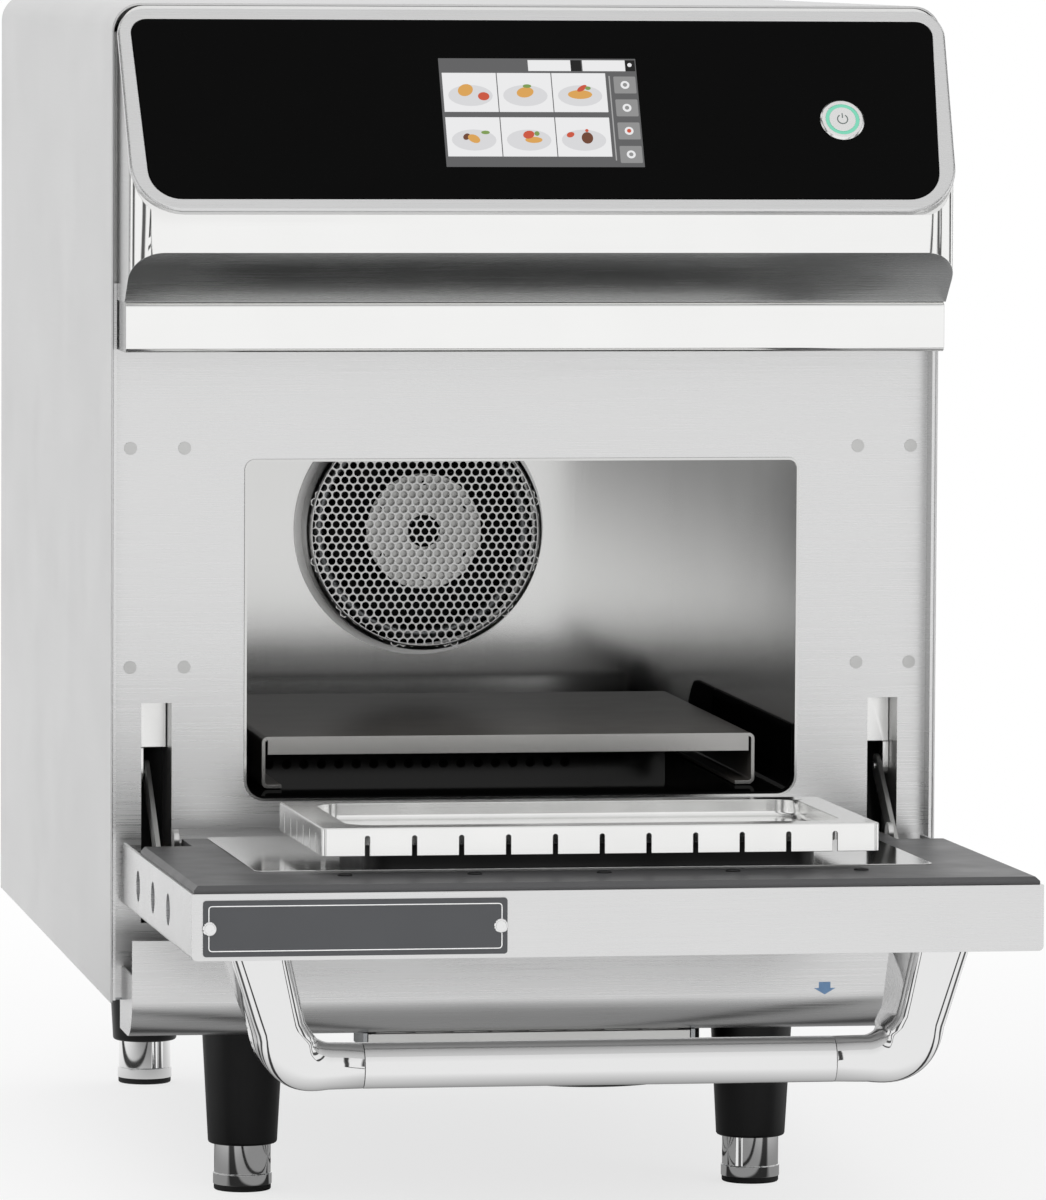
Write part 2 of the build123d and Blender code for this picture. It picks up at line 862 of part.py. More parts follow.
def touch_screen():
    low = screen_foot + bezel_rim
    return slab(-screen_width / 2, screen_width / 2, low, low + screen_height, 0, screen_thick)


def screen_module():
    """The display's box, behind the glass and through the console's face."""
    low = screen_foot + bezel_rim + seam_gap
    high = low + screen_height - 2 * seam_gap
    edge = screen_width / 2 - seam_gap
    return slab(-edge, edge, low, high, glass_thick, screen_box_thick)


def control_board():
    """The circuit board behind the display, on four posts."""
    middle = screen_foot + bezel_rim + screen_height / 2
    low = middle - board_height / 2
    high = middle + board_height / 2
    edge = board_width / 2
    front = screen_box_thick + board_gap
    board = slab(-edge, edge, low, high, front, front + board_thick)
    shell_back = bezel_thick + console_sheet
    for x in (-edge + board_post_inset, edge - board_post_inset):
        for s in (low + board_post_inset, high - board_post_inset):
            post = fascia.offset(-shell_back) * Pos(x, s) * Circle(board_post_width / 2)
            board += extrude(post, shell_back - front)
    for x in (-edge / 2, edge / 2):
        board += slab(x, x + chip_size, middle, middle + chip_size, front + board_thick,
                      front + board_thick + chip_thick)
    return board


def button_plug(width, d_lo, d_hi, bore=0):
    """A round piece on the power button's axis; d is the depth below the face."""
    spot = Pos(button_x, button_rise + bezel_rim)
    shape = Circle(width / 2)
    if bore:
        shape -= Circle(bore / 2)
    return extrude(fascia.offset(-d_lo) * spot * shape, d_lo - d_hi)


def button_body():
    """The steel bush of the button: a rim on the glass and a barrel through it."""
    rim = button_plug(button_width, -button_proud, 0)
    rim = chamfer(rim.edges().filter_by(lambda edge: on_face(edge, -button_proud)), bezel_edge)
    barrel = button_plug(button_barrel_width, 0, button_depth)
    well = button_plug(button_light_width, -button_proud - cut_over, button_proud)
    bore = button_plug(button_cap_width + 2 * button_fit, -cut_over, button_depth - button_travel_gap)
    return rim + barrel - well - bore


def button_light():
    """The lit ring between the bush and the cap."""
    return button_plug(button_light_width, -button_proud / 2, button_proud,
                       button_cap_width + 2 * button_fit)


def button_cap():
    """The moving centre of the button."""
    stop = button_depth - button_travel_gap - button_travel_gap
    return button_plug(button_cap_width, -button_proud, stop)


def lower_cover():
    """The rounded cover below the door: front, side returns and a curled-under foot."""
    side = cover_half
    points = [(-cover_reach, cover_foot), (cover_tail, cover_foot), (cover_tail, base_z),
              (0, base_z), (0, cover_top), (-cover_reach, cover_top)]
    body = along_x(points, -side, side, [cover_nose_round, 0, 0, 0, 0, 0])
    wall = cover_sheet
    nose = cover_nose_round - wall
    inner = [(-cover_reach + wall, cover_foot + wall), (cover_tail - wall, cover_foot + wall),
             (cover_tail - wall, base_z - wall), (cut_over, base_z - wall),
             (cut_over, cover_top - wall), (-cover_reach + wall, cover_top - wall)]
    body -= along_x(inner, -side + wall, side - wall, [nose, 0, 0, 0, 0, 0])
    mouth = block(-side + wall, side - wall, -cover_reach + cover_lip, cut_over,
                  cover_top - cut_over, cover_top + cut_over)
    body -= mouth
    body -= block(-side - cut_over, side + cut_over, 0, cut_over + cover_tail, base_z,
                  cover_top + cut_over)
    for side_x in (-side, side):
        body -= block(side_x - cut_over, side_x + cut_over, -cover_reach + cover_sheet, cut_over,
                      cover_side_top, cover_top + cut_over)
    return body


def filter_top():
    return cover_foot - filter_gap


def air_filter():
    """A thin framed grid, open between its bars."""
    top = filter_top()
    foot = top - filter_thick
    side = filter_width / 2
    end = filter_start + filter_depth
    frame = block(-side, side, filter_start, end, foot, top)
    frame -= block(-side + filter_rim, side - filter_rim, filter_start + filter_rim,
                   end - filter_rim, foot - cut_over, top + cut_over)
    clear = filter_width - 2 * filter_rim
    for index in range(1, filter_bar_count + 1):
        x = -side + filter_rim + index * clear / (filter_bar_count + 1)
        frame += block(x - filter_bar / 2, x + filter_bar / 2, filter_start + filter_rim,
                       end - filter_rim, foot, top)
    return frame


def filter_rails():
    """Two angle rails below the cover that carry the filter."""
    rails = []
    foot = filter_top() - filter_thick - filter_gap
    end = filter_start + filter_depth
    for side in (-1, 1):
        edge = filter_width / 2 + filter_gap
        x_lo, x_hi = span(side, edge, edge + filter_rail_wall)
        rail = block(x_lo, x_hi, filter_start, end, foot - filter_rail_wall, cover_foot)
        x_lo, x_hi = span(side, edge - filter_rail_lip, edge + filter_rail_wall)
        rail += block(x_lo, x_hi, filter_start, end, foot - filter_rail_wall, foot)
        rails.append(rail)
    return Compound(rails)


def underside_cowl():
    """The round air cowl under the base, open at its top."""
    cowl = rod_z(cowl_x, cowl_y, cowl_foot, base_z, cowl_width)
    cowl = fillet(cowl.edges().group_by(Axis.Z)[0], cowl_round)
    well = rod_z(cowl_x, cowl_y, cowl_foot + cowl_sheet, base_z + cut_over,
                 cowl_width - 2 * cowl_sheet)
    well = fillet(well.edges().group_by(Axis.Z)[0], cowl_round - cowl_sheet)
    return cowl - well


# Feet: a tapered leg under each corner, with a screw-in insert on a rubber pad
def turned(points, x, y, radii=0):
    """A turned piece: an outline of (radius, height) points spun about an upright axis."""
    return Pos(x, y, 0) * revolve(Plane.XZ * outline(points, radii), Axis.Z, 360)


def foot_leg(x, y):
    flange = leg_flange_width / 2
    bore = insert_width / 2 + insert_fit
    bore_top = insert_top + bore_spare
    points = [(bore, leg_foot), (leg_foot_width / 2, leg_foot),
              (leg_top_width / 2, base_z - leg_flange), (flange, base_z - leg_flange),
              (flange, base_z), (0, base_z), (0, bore_top), (bore, bore_top)]
    return turned(points, x, y, [0, leg_edge_round, 0, leg_edge_round, 0, 0, 0, 0])


def foot_insert(x, y):
    outer = insert_width / 2
    ring = foot_ring_width / 2
    inner = outer - insert_wall
    points = [(0, foot_ring_foot), (ring, foot_ring_foot), (ring, foot_ring_top),
              (outer, foot_ring_top), (outer, insert_top), (inner, insert_top),
              (inner, foot_ring_top + insert_wall), (0, foot_ring_top + insert_wall)]
    return turned(points, x, y)


def foot_pad(x, y):
    pad = pad_width / 2
    return turned([(0, 0), (pad, 0), (pad, foot_ring_foot), (0, foot_ring_foot)], x, y,
                  [0, pad_round, 0, 0])


# Door pieces, all drawn shut
def door_slope(z_shift, y):
    """Height of the door's slanted lower end at some depth."""
    share = (y - door_outer_y) / (door_rim_y - door_outer_y)
    return door_foot_z + z_shift + share * (door_foot_rim_z - door_foot_z)


def door_skin():
    """The door's outer tray: face, top, sides and a slanted hinge end."""
    points = [(door_outer_y, door_foot_z), (door_rim_y, door_foot_rim_z), (door_rim_y, door_top_z),
              (door_outer_y, door_top_z)]
    skin = along_x(points, -door_half, door_half)
    uprights = skin.edges().filter_by(Axis.Z).filter_by(lambda edge: edge.center().Y < hinge_y)
    skin = fillet(uprights, door_edge_round)
    wall = door_sheet
    inner_y = door_outer_y + wall
    inner = [(inner_y, door_slope(wall, inner_y)), (cut_over, door_slope(wall, cut_over)),
             (cut_over, door_top_z - wall), (inner_y, door_top_z - wall)]
    skin -= along_x(inner, -door_half + wall, door_half - wall)
    for side in (-1, 1):
        x_lo, x_hi = span(side, hinge_notch_inner, hinge_notch_outer)
        skin -= block(x_lo, x_hi, door_outer_y - cut_over, cut_over, door_foot_z - cut_over,
                      hinge_notch_top)
        x_lo, x_hi = span(side, notch_inner, hinge_notch_outer)
        skin -= block(x_lo, x_hi, hinge_y + hinge_lug_tip, cut_over, door_foot_z - cut_over,
                      notch_end_z)
        x_lo, x_hi = span(side, door_half - 2 * wall, door_half + cut_over)
        for index in range(side_hole_count):
            z = side_hole_first_z + index * side_hole_pitch
            skin -= rod_x(x_lo, x_hi, side_hole_y, z, side_hole_width)
    return skin


def door_side_caps(side):
    """Dark round caps behind the three holes in one side of the door."""
    caps = []
    inner = door_half - door_sheet
    x_lo, x_hi = span(side, inner - side_cap_thick, inner)
    for index in range(side_hole_count):
        z = side_hole_first_z + index * side_hole_pitch
        cap = rod_x(x_lo, x_hi, side_hole_y, z, side_hole_width + 2 * side_cap_thick)
        caps.append(cap)
    return caps


def door_frame():
    """The dark frame that closes the door's inner face, notched round the hinges."""
    frame = block(-frame_half, frame_half, door_rim_y, frame_face_y, frame_foot_z, frame_top_z)
    frame = chamfer(frame.faces().sort_by(Axis.Y)[-1].edges(), frame_bevel)
    for side in (-1, 1):
        x_lo, x_hi = span(side, notch_inner, door_half + cut_over)
        frame -= block(x_lo, x_hi, door_rim_y - cut_over, cut_over, frame_foot_z - cut_over,
                       notch_top_z)
    return frame


def door_back_plate():
    """The polished plate around the foot of the plug."""
    return along_y(corners(-back_plate_half, back_plate_half, back_plate_foot_z, back_plate_top_z),
                   frame_face_y, frame_face_y + back_plate_thick, cavity_top_round)


def door_plug():
    """The choke plug: a shallow drawn dish with a slotted skirt turned back round it."""
    points = corners(-plug_half, plug_half, plug_foot_z, plug_top_z)
    skirt_y = plug_face_y - plug_skirt
    plug = along_y(points, skirt_y, plug_face_y, plug_corner)
    plug = fillet(plug.faces().sort_by(Axis.Y)[-1].edges(), plug_edge_round)
    wall = plug_sheet
    inner = corners(-plug_half + wall, plug_half - wall, plug_foot_z + wall, plug_top_z - wall)
    plug -= along_y(inner, skirt_y - cut_over, plug_face_y - wall, plug_corner - wall)
    inset = dish_inset
    edge = corners(-plug_half + inset, plug_half - inset, plug_foot_z + inset, plug_top_z - inset)
    floor_y = plug_face_y - dish_depth
    plug += along_y(edge, floor_y - wall, plug_face_y - wall, dish_corner)
    inset += wall
    edge = corners(-plug_half + inset, plug_half - inset, plug_foot_z + inset, plug_top_z - inset)
    dish = along_y(edge, floor_y, plug_face_y + cut_over, dish_corner - wall)
    dish = fillet(dish.faces().sort_by(Axis.Y)[0].edges(), dish_edge_round)
    plug -= dish
    return plug - plug_slots(skirt_y)


def plug_slots(skirt_y):
    """The choke slots through the skirt, on all four sides."""
    slots = []
    middle = (plug_foot_z + plug_top_z) / 2
    reach = slot_depth - slot_width / 2
    for index in range(slot_count):
        x = (index - (slot_count - 1) / 2) * slot_pitch
        side = SlotCenterToCenter(2 * reach, slot_width, rotation=90)
        cutter = extrude(Plane.XY.offset(plug_foot_z - cut_over) * Pos(x, skirt_y) * side,
                         plug_top_z - plug_foot_z + 2 * cut_over)
        slots.append(cutter)
    for index in range(side_slot_count):
        z = middle + (index - (side_slot_count - 1) / 2) * side_slot_pitch
        side = SlotCenterToCenter(2 * reach, slot_width)
        cutter = extrude(Plane.YZ.offset(-plug_half - cut_over) * Pos(skirt_y, z) * side,
                         2 * (plug_half + cut_over))
        slots.append(cutter)
    keep_in = corners(-plug_half + neck_inset, plug_half - neck_inset, plug_foot_z + neck_inset,
                      plug_top_z - neck_inset)
    core = along_y(keep_in, skirt_y - slot_depth, skirt_y + 2 * slot_depth)
    dish = corners(-plug_half + dish_inset - plug_sheet, plug_half - dish_inset + plug_sheet,
                   plug_foot_z + dish_inset - plug_sheet, plug_top_z - dish_inset + plug_sheet)
    core += along_y(dish, skirt_y - slot_depth, skirt_y + 2 * slot_depth)
    return [slot - core for slot in slots]


def plug_neck():
    """The dark block that carries the plug off the door."""
    inset = neck_inset
    points = corners(-plug_half + inset, plug_half - inset, plug_foot_z + inset, plug_top_z - inset)
    return along_y(points, frame_face_y + back_plate_thick, plug_face_y - dish_depth - plug_sheet,
                   dish_corner)


def label_plate():
    """The bare dark plate on the door's free edge."""
    points = corners(label_left, label_right, label_front_y, label_back_y)
    return along_z(points, door_top_z, door_top_z + label_thick, label_round)


def label_rivets():
    y = (label_front_y + label_back_y) / 2
    low = door_top_z + label_thick
    return Compound([rod_z(x, y, low, low + rivet_proud, rivet_width)
                     for x in (label_left + rivet_inset, label_right - rivet_inset)])


def handle_bar():
    section = Plane.YZ.offset(-bar_half) * Pos(bar_y, bar_z) * RectangleRounded(bar_thick, bar_tall,
                                                                               bar_round)
    return extrude(section, 2 * bar_half)


def handle_section(x, y, z, turn, wide, tall, bend):
    """One section of a handle end, square to its path; it turns from the bar to the leg."""
    a = radians(turn)
    plane = Plane(origin=(x, y, z), x_dir=(0, 0, 1), z_dir=(cos(a), sin(a), 0))
    return plane * RectangleRounded(tall, wide, bend)


def handle_end(side):
    """A cast end of the handle, from the bar round a soft corner to its foot on the door."""
    end = loft([
        handle_section(bar_half, bar_y, bar_z, 0, bar_thick, bar_tall, bar_round),
        handle_section(shoulder_x, bar_y, bar_z, 0, bar_thick, shoulder_tall, bar_round),
        handle_section(elbow_x, elbow_y, elbow_z, elbow_turn, elbow_wide, elbow_tall, elbow_round),
        handle_section(leg_low_x, leg_low_y, leg_low_z, leg_lean, leg_low_wide, leg_low_tall,
                       leg_round),
        handle_section(leg_middle_x, leg_middle_y, leg_middle_z, leg_lean, leg_middle_wide,
                       leg_middle_tall, leg_round),
        handle_section(leg_root_x, leg_root_y, leg_root_z, leg_lean, leg_root_wide, leg_root_tall,
                       leg_round)])
    reach = leg_root_x + leg_root_wide
    end -= block(0, reach, door_outer_y, cut_over, leg_root_z - leg_root_tall,
                 leg_root_z + leg_root_tall)
    if side < 0:
        end = mirror(end, Plane.YZ)
    return end


# Hinges. A fixed lug comes forward through each slot and carries the door's pin.
def hinge_bracket(side):
    """The channel behind the slot, with the lug that reaches forward to the pin."""
    back = panel_sheet + hinge_plate_depth
    inner = front_slot_inner - hinge_wall
    outer = front_slot_outer + hinge_wall
    x_lo, x_hi = span(side, inner, outer)
    plate = block(x_lo, x_hi, panel_sheet, back, hinge_plate_foot, stay_block_top)
    x_lo, x_hi = span(side, front_slot_inner, front_slot_outer)
    plate -= block(x_lo, x_hi, panel_sheet - cut_over, back - hinge_wall,
                   hinge_plate_foot - cut_over, stay_block_top + cut_over)
    x_lo, x_hi = span(side, hinge_lug_inner, front_slot_outer)
    plate += block(x_lo, x_hi, panel_sheet, back - hinge_wall, hinge_plate_foot, hinge_lug_top)
    x_lo, x_hi = span(side, hinge_lug_inner, hinge_lug_outer)
    plate += link(hinge_y, hinge_z, hinge_plate_depth / 2, hinge_z, hinge_lug_tip, x_lo, x_hi)
    plate -= rod_x(x_lo - cut_over, x_hi + cut_over, hinge_y, hinge_z, hinge_pin_width + 2 * pin_fit)
    x_lo, x_hi = span(side, outer, hinge_flange_outer)
    return plate + block(x_lo, x_hi, panel_sheet, 2 * panel_sheet, hinge_plate_foot, stay_block_top)


def door_hinge_lug(side):
    """The door's bracket and its hinge pin, fixed inside the door's face."""
    inner_y = door_outer_y + door_sheet
    x_lo, x_hi = span(side, door_lug_inner, door_lug_outer)
    top = hinge_notch_top + door_lug_base
    lug = link(hinge_y, hinge_z, hinge_y + hinge_lug_tip, hinge_notch_top, hinge_lug_tip, x_lo, x_hi)
    lug += block(x_lo, x_hi, inner_y, inner_y + 4 * hinge_lug_tip, hinge_notch_top, top)
    x_lo, x_hi = span(side, door_lug_inner - door_lug_base / 2, door_lug_outer)
    lug += block(x_lo, x_hi, inner_y, inner_y + door_sheet, hinge_notch_top, top)
    x_lo, x_hi = span(side, hinge_lug_inner, door_lug_inner)
    return lug + rod_x(x_lo, x_hi, hinge_y, hinge_z, hinge_pin_width)


stay_c_open = (hinge_y + stay_pin_reach * cos(radians(stay_pin_turn)),
               hinge_z + stay_pin_reach * sin(radians(stay_pin_turn)))


def stay_pin_at(share):
    """The door's stay pin, with the door shut by a share of its travel."""
    return shut(*stay_c_open, -share * door_open_angle)


def stay_angle_at(share):
    """The angle of the line from the stay's pivot to the door's pin, from straight down."""
    y, z = stay_pin_at(share)
    return degrees(atan2(stay_y - y, stay_z - z))


def stay_reach_at(share):
    y, z = stay_pin_at(share)
    return hypot(stay_y - y, stay_z - z)


# The stay arm turns at a steady rate with the door, and its slot leaves the pin room.
stay_steps = [index / 20 for index in range(21)]
stay_open_angle = stay_angle_at(0)
stay_shut_angle = stay_angle_at(1)
stay_ratio = (stay_open_angle - stay_shut_angle) / door_open_angle
stay_stray = max(abs(stay_reach_at(share) * sin(radians(
    stay_angle_at(share) - stay_open_angle + share * (stay_open_angle - stay_shut_angle))))
    for share in stay_steps)
stay_near = min(stay_reach_at(share) for share in stay_steps)
stay_far = max(stay_reach_at(share) for share in stay_steps)
stay_slot_half = stay_pin_width / 2 + stay_stray + seam_gap
stay_half_width = stay_slot_half + stay_wall


def stay_arm(side):
    """A slotted flat arm, pivoted behind the front plate, that stops the door."""
    x_lo, x_hi = span(side, stay_inner, stay_outer)
    spare = stay_slot_half - stay_pin_width / 2 + stay_slot_spare
    slot_near = stay_near - spare + stay_slot_half
    slot_far = stay_far + spare - stay_slot_half
    arm = link(0, 0, 0, -slot_far, stay_half_width, x_lo, x_hi)
    arm -= link(0, -slot_near, 0, -slot_far, stay_slot_half, x_lo - cut_over, x_hi + cut_over)
    arm -= rod_x(x_lo - cut_over, x_hi + cut_over, 0, 0, stay_pin_width + 2 * pin_fit)
    return Pos(0, stay_y, stay_z) * Rot(X=-stay_open_angle) * arm


def stay_block(side):
    """The block in the top of the slot, with the lug and pin that the arm turns on."""
    x_lo, x_hi = span(side, stay_block_inner, hinge_lug_outer)
    back = panel_sheet + hinge_plate_depth - hinge_wall
    body = block(x_lo, x_hi, stay_block_front, back, stay_block_foot, stay_block_top)
    x_lo, x_hi = span(side, stay_lug_inner, hinge_lug_outer)
    body += block(x_lo, x_hi, stay_y - ear_tip, stay_y + ear_tip, stay_z, stay_block_foot)
    body += rod_x(x_lo, x_hi, stay_y, stay_z, 2 * ear_tip)
    x_lo, x_hi = span(side, stay_pin_end, stay_lug_inner)
    return body + rod_x(x_lo, x_hi, stay_y, stay_z, stay_pin_width)


def stay_ear(side):
    """The upright ear inside the door, with the pin that runs in the arm's slot."""
    pin_y, pin_z = stay_pin_at(1)
    inner_y = door_outer_y + door_sheet
    x_lo, x_hi = span(side, ear_inner, ear_outer)
    ear = link(inner_y + ear_tip, pin_z, pin_y, pin_z, ear_tip, x_lo, x_hi)
    ear += link(pin_y, pin_z, ear_reach_y - ear_tip, ear_reach_z, ear_tip, x_lo, x_hi)
    base_x_lo, base_x_hi = span(side, ear_inner - ear_base / 2, ear_outer)
    ear += block(base_x_lo, base_x_hi, inner_y, inner_y + door_sheet, pin_z - ear_base / 2,
                 pin_z + ear_base / 2)
    ear += block(x_lo, x_hi, inner_y, inner_y + ear_tip, pin_z - ear_base / 2, pin_z + ear_base / 2)
    x_lo, x_hi = span(side, ear_outer, stay_outer - seam_gap)
    return ear + rod_x(x_lo, x_hi, pin_y, pin_z, stay_pin_width)


# Inner works
def cavity_rail(y):
    """A channel across the base that carries the cavity."""
    top = cavity_foot - cavity_sheet - insulation_wall
    rail = block(-rail_half, rail_half, y, y + rail_depth, floor_z, top)
    return rail - block(-rail_half - cut_over, rail_half + cut_over, y + rail_sheet,
                        y + rail_depth - rail_sheet, floor_z - cut_over, top - rail_sheet)


def waveguide():
    """The rectangular duct over the cavity."""
    foot = cavity_roof + cavity_sheet + insulation_wall
    x_lo, x_hi = guide_x - guide_half_x, guide_x + guide_half_x
    duct = block(x_lo, x_hi, guide_front_y, guide_back_y, foot, foot + guide_height)
    return duct - block(x_lo + guide_sheet, x_hi - guide_sheet, guide_front_y + guide_sheet,
                        guide_back_y - guide_sheet, foot + guide_sheet, foot + guide_height - guide_sheet)


def magnetron():
    """A yoke frame round a finned core."""
    foot = cavity_roof + cavity_sheet + insulation_wall + guide_height
    x_lo, x_hi = guide_x - magnetron_wide / 2, guide_x + magnetron_wide / 2
    y_hi = guide_back_y
    y_lo = y_hi - magnetron_deep
    top = foot + magnetron_tall
    frame = block(x_lo, x_hi, y_lo, y_hi, foot, top)
    frame -= block(x_lo + magnetron_frame, x_hi - magnetron_frame, y_lo - cut_over, y_hi + cut_over,
                   foot + magnetron_frame, top - magnetron_frame)
    y = (y_lo + y_hi) / 2
    frame += rod_z(guide_x, y, foot + magnetron_frame, top - magnetron_frame, magnetron_core_width)
    step = (magnetron_tall - 2 * magnetron_frame) / (magnetron_fin_count + 1)
    for index in range(1, magnetron_fin_count + 1):
        z = foot + magnetron_frame + index * step
        frame += block(x_lo + magnetron_frame, x_hi - magnetron_frame, y_lo + magnetron_frame,
                       y_hi - magnetron_frame, z, z + magnetron_fin)
    return frame


def transformer():
    """A laminated core on a foot plate, with its winding."""
    foot = floor_z
    x_lo, x_hi = transformer_x - transformer_wide / 2, transformer_x + transformer_wide / 2
    y_lo, y_hi = transformer_y - transformer_deep / 2, transformer_y + transformer_deep / 2
    core = block(x_lo, x_hi, y_lo, y_hi, foot + transformer_foot, foot + transformer_tall)
    core += block(x_lo - transformer_leg, x_hi + transformer_leg, y_lo, y_hi, foot,
                  foot + transformer_foot)
    coil = block(x_lo + transformer_leg, x_hi - transformer_leg, y_lo - transformer_coil_over,
                 y_hi + transformer_coil_over, foot + transformer_leg,
                 foot + transformer_tall - transformer_leg)
    return core + coil


def capacitor():
    """An oval can with two terminals."""
    top = floor_z + capacitor_tall
    can = extrude(Plane.XY.offset(floor_z) * Pos(capacitor_x, capacitor_y)
                  * SlotOverall(capacitor_wide, capacitor_deep), capacitor_tall)
    for x in (-capacitor_wide / 6, capacitor_wide / 6):
        can += rod_z(capacitor_x + x, capacitor_y, top, top + terminal_tall, terminal_width)
    return can


def cooling_fan_frame():
    """A square fan frame on the back panel, with three arms to the motor seat."""
    y_hi = back_y - panel_sheet
    y_lo = y_hi - cooling_deep
    edge = cooling_size / 2
    frame = block(cooling_x - edge, cooling_x + edge, y_lo, y_hi, cooling_z - edge, cooling_z + edge)
    frame -= rod_y(cooling_x, y_lo - cut_over, y_hi + cut_over, cooling_z, cooling_bore)
    arms = block(cooling_x - edge, cooling_x + edge, y_lo, y_lo + cooling_arm_deep,
                 cooling_z - cooling_arm / 2, cooling_z + cooling_arm / 2)
    arms += block(cooling_x - cooling_arm / 2, cooling_x + cooling_arm / 2, y_lo,
                  y_lo + cooling_arm_deep, cooling_z - edge, cooling_z + edge)
    arms += rod_y(cooling_x, y_lo, y_lo + cooling_arm_deep, cooling_z, cooling_hub)
    return frame + arms + rod_y(cooling_x, y_lo, y_lo + 2 * cooling_arm_deep, cooling_z,
                                fan_shaft_width)


def cooling_fan_rotor():
    """The fan's hub and its leaning blades."""
    y_hi = back_y - panel_sheet - seam_gap * 2
    y_lo = y_hi - cooling_deep + cooling_arm_deep + seam_gap * 4
    middle = (y_lo + y_hi) / 2
    hub = rod_y(cooling_x, y_lo, y_hi, cooling_z, cooling_hub)
    tip = cooling_bore / 2 - cooling_blade_gap
    root = cooling_hub / 2 - cooling_blade
    rotor = hub
    for index in range(cooling_blade_count):
        blade = Pos((tip + root) / 2, 0, 0) * Rot(X=cooling_blade_lean) * Box(
            tip - root, (y_hi - y_lo) - 2 * seam_gap, cooling_blade)
        rotor += (Pos(cooling_x, middle, cooling_z) * Rot(Y=index * 360 / cooling_blade_count)
                  * blade)
    rotor &= rod_y(cooling_x, y_lo, y_hi, cooling_z, cooling_bore - 2 * cooling_blade_gap)
    bore = fan_shaft_width + 2 * button_fit
    return rotor - rod_y(cooling_x, y_lo - cut_over, y_lo + 2 * cooling_arm_deep, cooling_z, bore)


keep("casing", casing())
keep("base_chassis", base_chassis())
keep("back_panel", back_panel())
keep("cable_gland", cable_gland())
keep("front_plate", front_plate())
keep("cavity_shell", cavity_shell())
keep("insulation", insulation())
keep("cavity_liner", cavity_liner())
keep("cooking_plate", cooking_plate())
keep("fan_cover", fan_cover())
keep("fan_hub_plate", fan_hub_plate())
keep("convection_impeller", convection_impeller())
keep("heating_element", Compound([heating_element()] + heater_clips()))
keep("convection_motor", convection_motor())
keep("trim_bar", trim_bar())
keep("control_housing", control_housing())
keep("fascia_bezel", fascia_bezel())
keep("fascia_glass", fascia_glass())
keep("touch_screen", touch_screen())
keep("screen_module", screen_module())
keep("control_board", control_board())
keep("button_body", button_body())
keep("button_light", button_light())
keep("button_cap", button_cap())
keep("lower_cover", lower_cover())
keep("air_filter", air_filter())
keep("filter_rails", filter_rails())
keep("underside_cowl", underside_cowl())
foot_places = {"front_left": (-foot_x, foot_front_y), "front_right": (foot_x, foot_front_y),
               "back_left": (-foot_x, foot_back_y), "back_right": (foot_x, foot_back_y)}
keep("legs", Compound([foot_leg(*place) for place in foot_places.values()]))
for name, place in foot_places.items():
    keep("foot_" + name, foot_insert(*place))
    keep("pad_" + name, foot_pad(*place))
keep("door_skin", opened(door_skin()))
keep("door_frame", opened(door_frame()))
keep("door_back_plate", opened(door_back_plate()))
keep("door_plug", opened(door_plug()))
keep("plug_neck", opened(plug_neck()))
keep("label_plate", opened(label_plate()))
keep("label_rivets", opened(label_rivets()))
keep("handle_bar", opened(handle_bar()))
keep("handle_end_left", opened(handle_end(-1)))
keep("handle_end_right", opened(handle_end(1)))
sides = (-1, 1)
keep("side_caps", opened(Compound([cap for side in sides for cap in door_side_caps(side)])))
keep("door_hinge_brackets", opened(Compound([piece for side in sides
                                             for piece in (door_hinge_lug(side), stay_ear(side))])))
keep("hinge_brackets", Compound([hinge_bracket(side) for side in sides]))
keep("stay_blocks", Compound([stay_block(side) for side in sides]))
keep("stay_arm_left", stay_arm(-1))
keep("stay_arm_right", stay_arm(1))
keep("cavity_rails", Compound([cavity_rail(y) for y in (rail_front_y, rail_back_y)]))
keep("waveguide", waveguide())
keep("magnetron", magnetron())
keep("transformer", transformer())
keep("capacitor", capacitor())
keep("cooling_fan_frame", cooling_fan_frame())
keep("cooling_fan_rotor", cooling_fan_rotor())

# The origin lies on the floor, at the middle of the whole part with its door open.
whole = Compound(list(nodes.values())).bounding_box()
shift_y = -(whole.min.Y + whole.max.Y) / 2
os.makedirs("parts", exist_ok=True)
for name, shape in nodes.items():
    export_step(Pos(0, shift_y, 0) * shape, f"parts/{name}.step")
print(f"nodes {len(nodes)}, shift {shift_y:.3f}, stay ratio {stay_ratio:.5f}")
print(f"stay {stay_open_angle:.2f} to {stay_shut_angle:.2f}, reach {stay_near:.2f} to {stay_far:.2f}")
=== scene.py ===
"""Looks for a countertop speed oven, laid out as a Blender add-on. Lengths in it are in metres."""
import json
from math import atan2, cos, degrees, pi, radians, sin, sqrt, tan, tau

import bmesh
import bpy
from mathutils import Matrix, Vector


